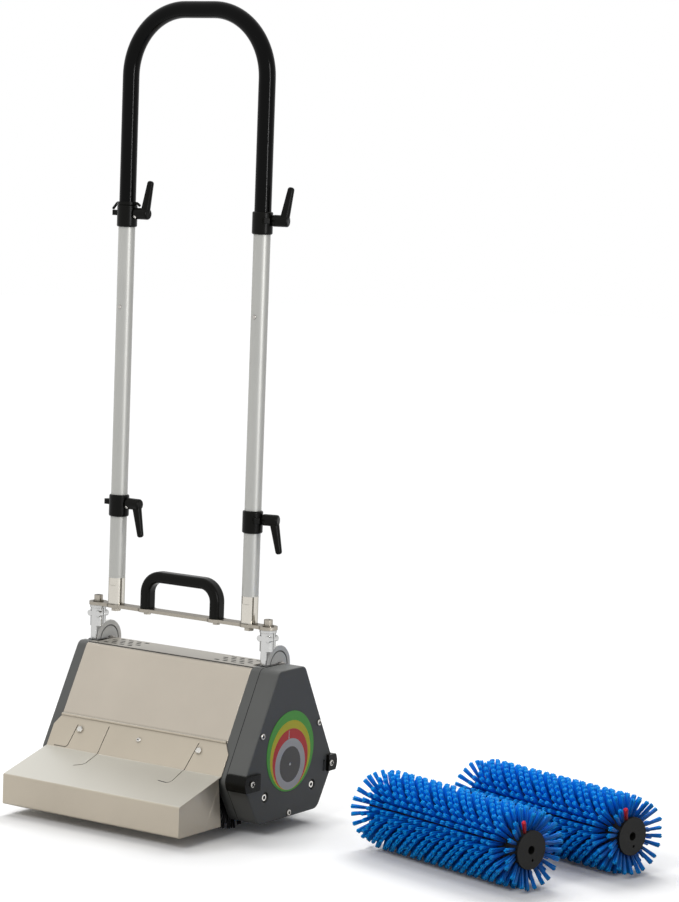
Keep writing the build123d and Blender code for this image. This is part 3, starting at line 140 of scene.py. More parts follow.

# Dark strip painted as the shade of the seam between the cover and its side plate, round corners given by
# y, z and radius
SEAM_X = 0.1695
SEAM_HALF = 0.0004
SEAM_PROUD = 0.00015
SEAM_SUNK = 0.0004
SEAM_STEPS = 6
BODY_CORNERS = [(0.033, 0.2377, 0.012), (0.115, 0.0833, 0.014), (0.076, 0.018, 0.018)]

# Stainless sheet: tones, with a paler tray top as painted light and a darker cover top as painted shade,
# the share of its look that is mirror rather than matt, and where it faces up
STAINLESS = (0.62, 0.56, 0.475)
COVER_TOP_PAINTED_SHADE = (0.46, 0.435, 0.385)
TRAY_STEEL = (0.60, 0.535, 0.435)
TRAY_TOP_PAINTED_LIGHT = (0.70, 0.67, 0.595)
SHEEN = 0.5
FACING_UP = (0.75, 0.92)

# Dirt tray and its screws
TRAY_HALF = 0.1618
SHEET = 0.0015
SLOPE_OUT = 0.8832
SLOPE_UP = 0.4690
TRAY_FLOOR_Z = 0.016
TRAY_FLOOR_CUT = -0.15074
TRAY_FLOOR_REAR = -0.110
TRAY_CHEEK_CUT = (-0.11781, 0.0780)
TRAY_SCREW_SEAT = (-0.09843, 0.11770)
TRAY_SCREW_X = 0.110
TRAY_SCREW_TURN = 0.35
TRAY_DOME = [(0.0, 0.0056), (0.0022, 0.0054), (0.0036, 0.0042), (0.0046, 0.0020)]
TRAY_BUTTON = [(0.0, 0.0038), (0.0010, 0.0037), (0.0020, 0.0030), (0.0025, 0.0018)]
TRAY_BUTTON_SIDES = 16
TRAY_SHANK = [(0.0, 0.0024), (0.011, 0.0024), (0.012, 0.0016)]
TRAY_SHANK_SIDES = 12
TRAY_SOCKET_R = 0.0013

# Vents of the top cover, and the shade painted dark inside it and round its vents
VENT_L = 0.009
VENT_RIM = 0.0028
VENT_PITCH_X = 0.015
VENT_PITCH_Y = 0.011
VENT_COLUMNS = 4
VENT_ROWS = 4
VENT_X = 0.104
VENT_DEPTH = 0.002
COVER_SKIN = 0.0003
COVER_INSIDE_Y = 0.031
COVER_PAINTED_SHADE = (0.012, 0.011, 0.010)

# Wheels
AXLE_Y = 0.021
AXLE_Z = 0.2345
WHEEL_R = 0.0305
HUB_DISC_R = 0.0205
HUB_GROOVE_W = 0.0018
GROOVE_SOFT = 0.01

# Handle clamps and tube sockets
TUBE_X = 0.124
TUBE_Y = -0.0025
TUBE_R = 0.0125
SOCKET_FLAT = 0.002
SOCKET_FLAT_H = 0.030
SOCKET_SLOT_W = 0.003
SOCKET_SLOT_D = 0.003
SOCKET_POINTS = 72
SOCKET_SLOTS = [(-TUBE_X, radians(69.0)), (TUBE_X, radians(56.0))]
COLLAR_R = 0.0152
HUB_R = 0.0086
HUB_RISE = 0.004
SET_SCREW_X = 0.0044
SET_SCREW_SUNK = 0.0006
SET_SCREW_DIP = radians(35.0)
SET_SCREW = [(0.0, 0.0026), (0.0010, 0.0026), (0.0016, 0.0018)]
LOWER_JOINT_Z = 0.446
UPPER_JOINT_Z = 0.882

# Camera at the photograph's place and angle
CAMERA_PLACE = Vector((2.5420, -3.4158, 0.9927))
YAW = radians(33.653)
PITCH = radians(-5.895)
ROLL = radians(2.070)

# Surroundings and floor: light that they give, and the ring in which the floor fades to white
WHITE = (1.0, 1.0, 1.0)
BLACK = (0.0, 0.0, 0.0)
SKY_LIGHT = 0.31
FLOOR_CENTRE = (0.25, 0.0, 0.0)
FLOOR_R = 14.0
FLOOR_Z = -0.0005
FLOOR_TONE = (0.05, 0.05, 0.05)
FLOOR_FADE = (0.8, 1.4)
NEAR_GLOW = 0.02
FAR_LIGHT = 0.2

# Textures: range of a noise, clouds, grains, the shade painted into creases, and the axes that distances
# are taken from
NOISE_LOW = 0.3
NOISE_HIGH = 0.7
CLOUD_SCALE = 9.0
GRAIN_DEPTH = 0.0002
FINE_DEPTH = 0.0001
PAINTED_SHADE_DARK = 0.85
SMOOTHEST = 0.02
EVEN = (1.0, 1.0, 1.0)
BRUSHED_X = (1.0, 40.0, 40.0)
BRUSHED_Z = (40.0, 40.0, 1.0)
FROM_X_AXIS = (0.0, 1.0, 1.0)
FROM_Z_AXIS = (1.0, 1.0, 0.0)

# Colour sockets of a mix node
MIX_FIRST = 6
MIX_SECOND = 7
MIX_RESULT = 2


def new_material(name):
    """Node material with a Principled shader, returned with its node tree and shader."""
    mat = bpy.data.materials.new(name)
    mat.use_nodes = True
    tree = mat.node_tree
    shader = tree.nodes["Principled BSDF"]
    return mat, tree, shader


def node(tree, kind, **values):
    """One shader node, with its properties and named inputs set."""
    made = tree.nodes.new(kind)
    for key, value in values.items():
        if key in made.inputs:
            made.inputs[key].default_value = value
        else:
            setattr(made, key, value)
    return made


def place(tree, scale=EVEN):
    """Object coordinates in metres, stretched by scale."""
    coords = node(tree, "ShaderNodeTexCoord")
    mapping = node(tree, "ShaderNodeMapping", Scale=scale)
    tree.links.new(coords.outputs["Object"], mapping.inputs["Vector"])
    return mapping.outputs["Vector"]


def parted(tree, kind):
    """X, Y and Z of a texture coordinate, as the outputs of one node."""
    coords = node(tree, "ShaderNodeTexCoord")
    split = node(tree, "ShaderNodeSeparateXYZ")
    tree.links.new(coords.outputs[kind], split.inputs["Vector"])
    return split.outputs


def noise(tree, vector, scale, detail, roughness=0.55):
    """Noise texture's factor over a vector."""
    texture = node(tree, "ShaderNodeTexNoise", Scale=scale, Detail=detail, Roughness=roughness)
    tree.links.new(vector, texture.inputs["Vector"])
    return texture.outputs["Fac"]


def ramp(tree, factor, stops):
    """Colour ramp over a factor, from (position, colour) stops."""
    made = node(tree, "ShaderNodeValToRGB")
    elements = made.color_ramp.elements
    while len(elements) < len(stops):
        elements.new(0.5)
    for element, (position, colour) in zip(elements, stops):
        element.position = position
        element.color = (*colour, 1.0)
    tree.links.new(factor, made.inputs["Fac"])
    return made.outputs["Color"]


def spread(tree, factor, low, high, start=NOISE_LOW, end=NOISE_HIGH):
    """Factor from start to end mapped to a range of values."""
    made = node(tree, "ShaderNodeMapRange")
    made.inputs["From Min"].default_value = start
    made.inputs["From Max"].default_value = end
    made.inputs["To Min"].default_value = low
    made.inputs["To Max"].default_value = high
    tree.links.new(factor, made.inputs["Value"])
    return made.outputs["Result"]


def blend(tree, factor, first, second):
    """Mix of two colours, each a tuple or a socket, by a factor."""
    made = node(tree, "ShaderNodeMix", data_type="RGBA")
    tree.links.new(factor, made.inputs["Factor"])
    for index, colour in ((MIX_FIRST, first), (MIX_SECOND, second)):
        if isinstance(colour, tuple):
            made.inputs[index].default_value = (*colour, 1.0)
        else:
            tree.links.new(colour, made.inputs[index])
    return made.outputs[MIX_RESULT]


def calc(tree, operation, first, second=0.0):
    """Value of a math node over sockets or numbers."""
    made = node(tree, "ShaderNodeMath", operation=operation)
    for index, value in enumerate((first, second)):
        if isinstance(value, (int, float)):
            made.inputs[index].default_value = value
        else:
            tree.links.new(value, made.inputs[index])
    return made.outputs["Value"]


def grey(value):
    """Colour with the same value in its three channels."""
    return (value, value, value)


def tones(colour, amount):
    """A darker and a lighter tone of a colour."""
    dark = tuple(c * (1 - amount) for c in colour)
    light = tuple(min(1.0, c * (1 + amount)) for c in colour)
    return dark, light


def fine_grain(tree, shader, scale, detail, roughness, strength, depth, stretch=EVEN, bevel=0.0):
    """Fine noise in the roughness, between two values, and in the normal, with edges rounded by bevel."""
    fine = noise(tree, place(tree, stretch), scale, detail)
    tree.links.new(spread(tree, fine, *roughness), shader.inputs["Roughness"])
    made = node(tree, "ShaderNodeBump", Strength=strength, Distance=depth)
    tree.links.new(fine, made.inputs["Height"])
    if bevel:
        rounded = node(tree, "ShaderNodeBevel", samples=6, Radius=bevel)
        tree.links.new(rounded.outputs["Normal"], made.inputs["Normal"])
    tree.links.new(made.outputs["Normal"], shader.inputs["Normal"])


def surface(name, colour, roughness, metallic=0.0, vary=0.06, grain=EVEN, grain_scale=300.0,
            bump_strength=0.08, rough_vary=0.06, bevel=0.0, specular=0.5, painted_shade_reach=0.0, edge=WHITE):
    """Material with a toned colour, an uneven roughness, a fine grain and shade painted darker into its
    creases.
    """
    mat, tree, shader = new_material(name)
    shader.inputs["Specular Tint"].default_value = (*edge, 1.0)
    shader.inputs["Metallic"].default_value = metallic
    shader.inputs["Specular IOR Level"].default_value = specular
    low, high = tones(colour, vary)
    clouds = noise(tree, place(tree), scale=CLOUD_SCALE, detail=5.0)
    tint = ramp(tree, clouds, [(NOISE_LOW, low), (NOISE_HIGH, high)])
    # Painted shade: the colour darkens toward a darker tone where other surfaces lie within the given
    # reach
    if painted_shade_reach:
        corner = node(tree, "ShaderNodeAmbientOcclusion", samples=8, Distance=painted_shade_reach)
        tint = blend(tree, corner.outputs["AO"], tones(colour, PAINTED_SHADE_DARK)[0], tint)
    tree.links.new(tint, shader.inputs["Base Color"])
    rough = (max(SMOOTHEST, roughness - rough_vary), roughness + rough_vary)
    fine_grain(tree, shader, scale=grain_scale, detail=3.0, roughness=rough, strength=bump_strength,
               depth=GRAIN_DEPTH, stretch=grain, bevel=bevel)
    return mat


def distance_from(tree, centre, keep):
    """Distance of a surface point from a centre, along the axes that keep leaves in."""
    coords = node(tree, "ShaderNodeTexCoord")
    shift = node(tree, "ShaderNodeVectorMath", operation="SUBTRACT")
    shift.inputs[1].default_value = centre
    flat = node(tree, "ShaderNodeVectorMath", operation="MULTIPLY")
    flat.inputs[1].default_value = keep
    length = node(tree, "ShaderNodeVectorMath", operation="LENGTH")
    tree.links.new(coords.outputs["Object"], shift.inputs[0])
    tree.links.new(shift.outputs["Vector"], flat.inputs[0])
    tree.links.new(flat.outputs["Vector"], length.inputs[0])
    return length.outputs["Value"]


def paint_top_light_and_shade(mat, colour):
    """Paints light or shade on a material where it faces up, by giving its upward faces another tone."""
    tree = mat.node_tree
    base = tree.nodes["Principled BSDF"].inputs["Base Color"]
    tint = base.links[0].from_socket
    up = spread(tree, parted(tree, "Normal")["Z"], 0.0, 1.0, *FACING_UP)
    tree.links.new(blend(tree, up, tint, colour), base)


def vent_shade_mask(tree, x, y, z, top_z):
    """1 on the rims round the vents in the top, where shade is painted dark, 0 elsewhere."""
    row = calc(tree, "ADD", calc(tree, "DIVIDE", y, VENT_PITCH_Y), VENT_ROWS / 2)
    odd = calc(tree, "FLOORED_MODULO", calc(tree, "FLOOR", row), 2.0)
    stagger = spread(tree, odd, -VENT_PITCH_X / 4, VENT_PITCH_X / 4, 0.0, 1.0)
    group = calc(tree, "MULTIPLY", calc(tree, "SIGN", x), VENT_X)
    from_group = calc(tree, "SUBTRACT", calc(tree, "SUBTRACT", x, group), stagger)
    column = calc(tree, "ADD", calc(tree, "DIVIDE", from_group, VENT_PITCH_X), VENT_COLUMNS / 2)
    dx = spread(tree, calc(tree, "FRACT", column), -VENT_PITCH_X / 2, VENT_PITCH_X / 2, 0.0, 1.0)
    dy = spread(tree, calc(tree, "FRACT", row), -VENT_PITCH_Y / 2, VENT_PITCH_Y / 2, 0.0, 1.0)
    from_straight = calc(tree, "SUBTRACT", calc(tree, "ABSOLUTE", dx), VENT_L / 2 - VENT_RIM)
    past = calc(tree, "MAXIMUM", from_straight, 0.0)
    away = calc(tree, "ADD", calc(tree, "MULTIPLY", past, past), calc(tree, "MULTIPLY", dy, dy))
    mask = calc(tree, "LESS_THAN", away, VENT_RIM * VENT_RIM)
    limits = ((row, 0.0, VENT_ROWS), (column, 0.0, VENT_COLUMNS), (z, top_z - VENT_DEPTH, 1.0))
    for value, low, high in limits:
        mask = calc(tree, "MULTIPLY", mask, calc(tree, "GREATER_THAN", value, low))
        mask = calc(tree, "MULTIPLY", mask, calc(tree, "LESS_THAN", value, high))
    return mask


def paint_vent_shade(mat, top_z):
    """Paints shade dark and matt on the top cover's inside and on the rims and walls of its vents."""
    tree = mat.node_tree
    shader = tree.nodes["Principled BSDF"]
    tint = shader.inputs["Base Color"].links[0].from_socket
    parts = parted(tree, "Object")
    x, y, z = (parts[axis] for axis in "XYZ")
    below = calc(tree, "LESS_THAN", z, top_z - COVER_SKIN)
    inside = calc(tree, "LESS_THAN", calc(tree, "ABSOLUTE", y), COVER_INSIDE_Y)
    walls = calc(tree, "MULTIPLY", below, inside)
    dark = calc(tree, "MAXIMUM", walls, vent_shade_mask(tree, x, y, z, top_z))
    tree.links.new(blend(tree, dark, tint, COVER_PAINTED_SHADE), shader.inputs["Base Color"])
    metal = spread(tree, dark, SHEEN, 0.0, 0.0, 1.0)
    tree.links.new(metal, shader.inputs["Metallic"])


def bristle_material(name, root, middle, tip, specular):
    """Nylon bristles with shade painted at their roots and light painted at their tips."""
    mat, tree, shader = new_material(name)
    shader.inputs["Specular IOR Level"].default_value = specular
    rise = node(tree, "ShaderNodeAttribute", attribute_name="rise").outputs["Fac"]
    # Painted shade at the roots and painted light at the tips
    tint = ramp(tree, rise, [(0.0, root), (0.7, middle), (1.0, tip)])
    clouds = noise(tree, place(tree), scale=220.0, detail=3.0)
    shade = spread(tree, clouds, low=0.0, high=0.35)
    tree.links.new(blend(tree, shade, tint, middle), shader.inputs["Base Color"])
    fine_grain(tree, shader, scale=1600.0, detail=2.0, roughness=(0.28, 0.46),
               strength=0.08, depth=FINE_DEPTH)
    return mat


def wheel_material():
    """Grey wheel, its tyre paler than its disc, with shade painted dark in the groove between them."""
    mat, tree, shader = new_material("wheel_grey")
    away = distance_from(tree, (0.0, AXLE_Y, AXLE_Z), FROM_X_AXIS)
    share = calc(tree, "DIVIDE", away, WHEEL_R)
    groove = HUB_DISC_R / WHEEL_R
    rim = (HUB_DISC_R + HUB_GROOVE_W) / WHEEL_R
    stops = [
        (0.0, (0.84, 0.84, 0.82)),
        (groove - GROOVE_SOFT, (0.90, 0.90, 0.88)),
        # Painted shade in the groove
        (groove + GROOVE_SOFT, grey(0.16)),
        (rim, grey(0.16)),
        (rim + 2 * GROOVE_SOFT, (0.94, 0.94, 0.92)),
    ]
    tree.links.new(ramp(tree, share, stops), shader.inputs["Base Color"])
    fine_grain(tree, shader, scale=600.0, detail=3.0, roughness=(0.38, 0.52),
               strength=0.1, depth=GRAIN_DEPTH)
    return mat


def ring_material():
    """Printed gauge of nested coloured discs."""
    mat, tree, shader = new_material("gauge_print")
    shader.inputs["Specular IOR Level"].default_value = 0.25
    colour = grey(0.04)
    for radius, centre_z, tint in GAUGE_RINGS:
        away = distance_from(tree, (0.0, 0.0, centre_z), FROM_X_AXIS)
        colour = blend(tree, calc(tree, "LESS_THAN", away, radius), colour, tint)
    tree.links.new(colour, shader.inputs["Base Color"])
    fine_grain(tree, shader, scale=900.0, detail=2.0, roughness=(0.32, 0.42),
               strength=0.03, depth=FINE_DEPTH)
    return mat


# Looks of the plain surfaces and of the bristles, by name
# In each look, the reach of its creases is how far shade is painted into them
SHEET_LOOK = dict(
    metallic=SHEEN, vary=0.04, grain=BRUSHED_X, grain_scale=60.0, bump_strength=0.008, rough_vary=0.02,
    bevel=0.0012, specular=0.15, painted_shade_reach=0.004)
LOOKS = {
    "stainless": dict(colour=TRAY_STEEL, roughness=0.34, edge=(0.8, 0.9, 1.0), **SHEET_LOOK),
    "cover_steel": dict(colour=STAINLESS, roughness=0.30, edge=grey(0.5), **SHEET_LOOK),
    "socket_steel": dict(
        colour=(0.62, 0.59, 0.53), roughness=0.20, metallic=1.0, vary=0.04, grain=BRUSHED_Z,
        grain_scale=90.0, bump_strength=0.03, painted_shade_reach=0.003, edge=grey(0.4)),
    "bolt_steel": dict(
        colour=(0.40, 0.37, 0.32), roughness=0.26, metallic=1.0, bevel=0.0004, painted_shade_reach=0.004,
        edge=grey(0.4)),
    "tube_aluminium": dict(
        colour=(0.60, 0.60, 0.57), roughness=0.45, metallic=0.4, vary=0.03, grain=BRUSHED_Z,
        grain_scale=90.0, bump_strength=0.01, rough_vary=0.02, specular=0.2, painted_shade_reach=0.004),
    "chrome": dict(
        colour=(0.58, 0.58, 0.57), roughness=0.14, metallic=1.0, vary=0.03, bump_strength=0.03,
        bevel=0.0006, painted_shade_reach=0.008, edge=grey(0.25)),
    "steel": dict(
        colour=(0.50, 0.48, 0.45), roughness=0.30, metallic=1.0, bump_strength=0.05, bevel=0.0003,
        painted_shade_reach=0.004),
    "bright_steel": dict(
        colour=(0.66, 0.64, 0.60), roughness=0.22, metallic=1.0, vary=0.05, bump_strength=0.04),
    "yoke_steel": dict(
        colour=(0.37, 0.34, 0.29), roughness=0.34, metallic=1.0, vary=0.05, grain=(1.0, 30.0, 30.0),
        grain_scale=80.0, bump_strength=0.05, bevel=0.0006, painted_shade_reach=0.006, edge=grey(0.6)),
    "dark_moulding": dict(
        colour=(0.155, 0.158, 0.153), roughness=0.46, grain_scale=1400.0, bump_strength=0.16,
        bevel=0.0010, specular=0.12, painted_shade_reach=0.003),
    "black_plastic": dict(
        colour=(0.006, 0.006, 0.005), roughness=0.30, vary=0.1, grain_scale=1200.0, bump_strength=0.06,
        bevel=0.0008, specular=0.10),
    "black_tube": dict(
        colour=grey(0.003), roughness=0.15, vary=0.1, bump_strength=0.02, rough_vary=0.03, specular=0.08),
    "motor_paint": dict(colour=(0.03, 0.032, 0.035), roughness=0.45, vary=0.1),
    "gear_nylon": dict(colour=(0.7, 0.68, 0.6), roughness=0.45, vary=0.05),
    "belt_rubber": dict(colour=grey(0.012), roughness=0.7, vary=0.1),
    "core_black": dict(
        colour=(0.009, 0.009, 0.008), roughness=0.55, vary=0.12, grain_scale=900.0, bump_strength=0.15,
        specular=0.2),
    "print_white": dict(colour=(0.85, 0.85, 0.83), roughness=0.4, vary=0.03),
    # Dark for the flat shapes painted as shade in sockets, recesses and the drive cover's seam
    "socket_dark": dict(colour=grey(0.012), roughness=0.5, vary=0.1, specular=0.2),
}
BRISTLE_LOOKS = {
    "bristle_blue": dict(
        root=(0.001, 0.039, 0.23), middle=(0.002, 0.25, 0.90), tip=(0.005, 0.45, 1.00), specular=0.18),
    # Fitted brushes: near black, painted as the shade under the machine
    "bristle_dark": dict(
        root=(0.004, 0.004, 0.005), middle=(0.012, 0.012, 0.014), tip=(0.024, 0.024, 0.026), specular=0.2),
    "bristle_red": dict(
        root=(0.30, 0.006, 0.010), middle=(0.70, 0.015, 0.030), tip=(0.85, 0.03, 0.05), specular=0.3),
}
# Materials, and the one that each node of the frame wears
materials = {name: surface(name, **look) for name, look in LOOKS.items()}
materials.update({name: bristle_material(name, **look) for name, look in BRISTLE_LOOKS.items()})
materials["wheel_grey"] = wheel_material()
materials["gauge_print"] = ring_material()
# Painted light on the tray's upward faces and painted shade on the top of the cover
paint_top_light_and_shade(materials["stainless"], TRAY_TOP_PAINTED_LIGHT)
paint_top_light_and_shade(materials["cover_steel"], COVER_TOP_PAINTED_SHADE)
# Painted shade inside the top cover and round its vents
paint_vent_shade(materials["cover_steel"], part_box("top_cover")[1][2])
finishes = {entry["node"]: entry["material_slot"] for entry in frame["record"]["subparts"]}
finishes["yoke_plate"] = "yoke_steel"
finishes["top_cover"] = "cover_steel"
finishes["yoke_bolts"] = "bolt_steel"
for name, finish in finishes.items():
    nodes[name].data.materials.clear()
    nodes[name].data.materials.append(materials[finish])


class Shape:
    """Points and faces of one piece and, for bristles, each point's share of the way to its tip."""

    def __init__(self):
        self.verts = []
        self.faces = []
        self.rise = []

    def skin(self, start, rings, sides):
        """Faces from ring to ring of the points since start, and over the last ring."""
        for ring in range(rings - 1):
            for k in range(sides):
                a = start + ring * sides + k
                b = start + ring * sides + (k + 1) % sides
                self.faces.append((a, b, b + sides, a + sides))
        top = start + (rings - 1) * sides
        self.faces.append(tuple(range(top, top + sides)))

    def turned(self, centre, out, profile, sides, turn=0.0):
        """Head turned about a direction, from (height, radius) steps, closed at its top."""
        side = out.orthogonal().normalized()
        other = out.cross(side)
        start = len(self.verts)
        for rise, radius in profile:
            for k in range(sides):
                angle = turn + 2 * pi * k / sides
                ray = side * cos(angle) + other * sin(angle)
                self.verts.append(centre + out * rise + ray * radius)
        self.skin(start, len(profile), sides)

    def hex_socket_shade(self, centre, out, radius, turn=0.0):
        """Flat dark hexagon with a bevelled front, painted shade standing in for a socket's recess."""
        profile = [(0.0, radius), (PRINT_T * SOCKET_WALL, radius), (PRINT_T, radius * SOCKET_FRONT)]
        self.turned(centre, out, profile, HEX, turn)

    def cross_recess_shade(self, centre, out):
        """Two flat crossed bars, painted shade standing in for a cross-head screw's recess."""
        side = out.orthogonal().normalized()
        other = out.cross(side)
        for long_way, short_way in ((side, other), (other, side)):
            start = len(self.verts)
            for rise in (0.0, PRINT_T):
                for a, b in ((-1, -1), (1, -1), (1, 1), (-1, 1)):
                    corner = centre + out * rise + long_way * (a * CROSS_L / 2)
                    self.verts.append(corner + short_way * (b * CROSS_W / 2))
            self.faces.append((start + 4, start + 5, start + 6, start + 7))
            for k in range(4):
                after = (k + 1) % 4
                self.faces.append((start + k, start + after, start + 4 + after, start + 4 + k))

    def plate(self, outline, thickness):
        """Flat plate with a given outline, as thick as a vector says."""
        start = len(self.verts)
        count = len(outline)
        self.verts.extend(outline)
        self.verts.extend(point + thickness for point in outline)
        self.faces.append(tuple(range(start, start + count))[::-1])
        self.faces.append(tuple(range(start + count, start + 2 * count)))
        for k in range(count):
            a = start + k
            b = start + (k + 1) % count
            self.faces.append((a, b, b + count, a + count))

    def filament(self, foot, tip):
        """One filament with a rounded tip."""
        along = (tip - foot).normalized()
        side = along.orthogonal().normalized()
        other = along.cross(side)
        rings = [
            (foot, FOOT_WIDTH, 0.0),
            (tip - along * FILAMENT_R * TIP_ROUND, 1.0, SHOULDER_RISE),
            (tip, TIP_WIDTH, 1.0),
        ]
        start = len(self.verts)
        for centre, width, share in rings:
            for k in range(FILAMENT_SIDES):
                turn = 2 * pi * k / FILAMENT_SIDES
                point = centre + (side * cos(turn) + other * sin(turn)) * (FILAMENT_R * width)
                self.verts.append((point.x, point.y, max(point.z, LOWEST_Z)))
                self.rise.append(share)
        self.skin(start, len(rings), FILAMENT_SIDES)

    def tuft(self, axis_point, along, out, lean, reach, strands):
        """Bundle of filaments that grows out of the core, leaning along its axis by an angle."""
        grow = out * cos(lean) + along * sin(lean)
        fan = along * cos(lean) - out * sin(lean)
        across = along.cross(out)
        foot = axis_point + out * (CORE_R - ROOT_SUNK)
        length = reach - CORE_R
        self.filament(foot, foot + grow * length * random.uniform(*MIDDLE_LENGTH))
        for k in range(strands - 1):
            turn = 2 * pi * k / (strands - 1) + random.uniform(-TURN_JITTER, TURN_JITTER)
            shift = fan * cos(turn) + across * sin(turn)
            jitter = fan * random.uniform(-TIP_JITTER, TIP_JITTER)
            jitter = jitter + across * random.uniform(-TIP_JITTER, TIP_JITTER)
            tip = foot + grow * length * random.uniform(*OUTER_LENGTH) + shift * TIP_SPREAD + jitter
            self.filament(foot + shift * ROOT_SPREAD, tip)


def piece(name, shape, finish, body, smooth=False):
    """Object made from a shape, which rides on a body."""
    mesh = bpy.data.meshes.new(name)
    mesh.from_pydata(shape.verts, [], shape.faces)
    mesh.polygons.foreach_set("use_smooth", [smooth] * len(mesh.polygons))
    mesh.materials.append(materials[finish])
    if shape.rise:
        mesh.attributes.new("rise", "FLOAT", "POINT").data.foreach_set("value", shape.rise)
    obj = bpy.data.objects.new(name, mesh)
    bpy.context.scene.collection.objects.link(obj)
    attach(obj, body)
    return obj


def axis_of(turn_z):
    """Direction of a level brush's axis, turned about the upright by degrees."""
    return Vector((cos(radians(turn_z)), sin(radians(turn_z)), 0.0))


def outward(along, turn):
    """Direction away from a level axis, at an angle round it."""
    return UP.cross(along) * cos(turn) + UP * sin(turn)


def tuft_places():
    """Angle and axial place of every tuft of a brush, in pairs that run in chevrons round the core."""
    places = []
    for column in range(TUFT_COLUMNS):
        turn = radians(CHEVRON_ANGLE + COLUMN_SHIFT) + 2 * pi * (column + 0.5) / TUFT_COLUMNS
        away = abs((turn - radians(CHEVRON_ANGLE) + pi) % (2 * pi) - pi)
        for group in TUFT_GROUPS:
            middle = CORE_L / 2 + CHEVRON_PLACE + group * TUFT_GROUP - CHEVRON_SLOPE * away
            for step in (-0.5, 0.5):
                s = middle + step * TUFT_PAIR
                if PAIR_MARGIN <= s <= CORE_L - PAIR_MARGIN:
                    places.append((turn, s))
    return places


def bristle_brush(name, centre, turn_z, body, replaced, finish, reach, strands,
                  end_lean, end_spread, marked=False):
    """Dense bristles in place of the plain tufts of one brush."""
    bristles = Shape()
    along = axis_of(turn_z)
    start = Vector(centre) - along * (CORE_L / 2)
    for turn, s in tuft_places():
        lean = radians(random.uniform(-TUFT_LEAN, TUFT_LEAN))
        bristles.tuft(start + along * s, along, outward(along, turn), lean, reach, strands)
    ends = ((END_MARGIN, -1, LEFT_END_LEAN), (CORE_L - END_MARGIN, 1, RIGHT_END_LEAN))
    for s, sign, more in ends:
        for column in range(END_COLUMNS):
            turn = 2 * pi * (column + random.uniform(*END_STEP)) / END_COLUMNS
            if marked and sign > 0 and abs(turn - radians(MARKER_TURN)) < radians(MARKER_ROOM):
                continue
            lean = sign * radians(more * end_lean + random.uniform(-end_spread, end_spread))
            end_reach = reach * random.uniform(*END_REACH)
            bristles.tuft(start + along * s, along, outward(along, turn), lean, end_reach, strands)
    obj = piece(name, bristles, finish, body, smooth=True)
    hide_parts(replaced)


def marker_tuft(name, centre, turn_z, body):
    """Red wear marker beside the end disc."""
    bristles = Shape()
    along = axis_of(turn_z)
    end = Vector(centre) + along * (CORE_L / 2 - MARKER_INSET)
    out = outward(along, radians(MARKER_TURN))
    bristles.tuft(end, along, out, radians(MARKER_LEAN), CORE_R + MARKER_L, MARKER_STRANDS)
    piece(name, bristles, "bristle_red", body, smooth=True)


# Bristles of the spare brushes, then of the fitted ones
for label, (x, y) in (("near", SPARE_NEAR), ("far", SPARE_FAR)):
    body = f"{label}_spare_brush"
    centre = (x, y, BRUSH_Z)
    bristle_brush(
        f"{label}_spare_dense", centre, SPARE_TURN, body, f"{label}_spare_bristles", "bristle_blue",
        BRUSH_R, strands=7, end_lean=22.0, end_spread=6.0, marked=True)
    marker_tuft(f"{label}_spare_marker", centre, SPARE_TURN, body)
for label, sign in (("front", -1), ("rear", 1)):
    centre = (0.0, sign * BRUSH_Y, BRUSH_Z)
    bristle_brush(
        f"{label}_brush_dense", centre, 0.0, f"{label}_brush", f"{label}_brush_bristles", "bristle_dark",
        FITTED_R, strands=4, end_lean=1.0, end_spread=1.0)

# Bolts near the mouths of the cover's recesses, with flat dark hexagons as the painted shade of their
# sockets
heads = Shape()
sockets = Shape()
for sign in (-1, 1):
    foot = Vector((COVER_FACE_X - RECESS_DEPTH, sign * BRUSH_Y, BRUSH_Z))
    heads.turned(foot, RIGHT_WAY, RECESS_BOLT, RECESS_BOLT_SIDES)
    mouth = foot + RIGHT_WAY * RECESS_BOLT[-1][0]
    sockets.hex_socket_shade(mouth, RIGHT_WAY, BOLT_SOCKET_R, BOLT_SOCKET_TURN)
bolts = piece("recess_bolt_heads", heads, "bright_steel", "chassis")
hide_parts("recess_bolts")
piece("recess_bolt_socket_shade", sockets, "socket_dark", "chassis")

# Painted shade of the sockets in the cover's screws and of the cross recesses in its clips' screws
sockets = Shape()
for y, z in COVER_SCREWS:
    head = Vector((COVER_FACE_X + SCREW_HEAD, y, z))
    sockets.hex_socket_shade(head, RIGHT_WAY, COVER_SOCKET_R, COVER_SOCKET_TURN)
for y, z in CLIP_SCREWS:
    head = Vector((COVER_FACE_X + CLIP_T + SCREW_HEAD, y, z))
    sockets.cross_recess_shade(head, RIGHT_WAY)
piece("cover_screw_socket_shade", sockets, "socket_dark", "chassis")

# White arrow printed on the gauge
arrow = Shape()
gauge_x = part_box("gauge_label")[1][0]
left_half = [(-y, z) for y, z in ARROW[::-1] if y]
outline = [Vector((gauge_x, ARROW_Y + y, z)) for y, z in ARROW + left_half]
arrow.plate(outline, RIGHT_WAY * PRINT_T)
piece("gauge_arrow", arrow, "print_white", "chassis")


def rounded_loop(corners, steps):
    """Points and outward directions around a loop of rounded corners, each given by y, z and radius."""
    loop = []
    for k, (y, z, radius) in enumerate(corners):
        corner = Vector((0.0, y, z))
        before = Vector((0.0, *corners[k - 1][:2]))
        after = Vector((0.0, *corners[(k + 1) % len(corners)][:2]))
        back = (before - corner).normalized()
        ahead = (after - corner).normalized()
        half = back.angle(ahead) / 2
        centre = corner + (back + ahead).normalized() * (radius / sin(half))
        first = corner + back * (radius / tan(half)) - centre
        last = corner + ahead * (radius / tan(half)) - centre
        for step in range(steps + 1):
            out = (first.lerp(last, step / steps)).normalized()
            loop.append((centre + out * radius, out))
    return loop


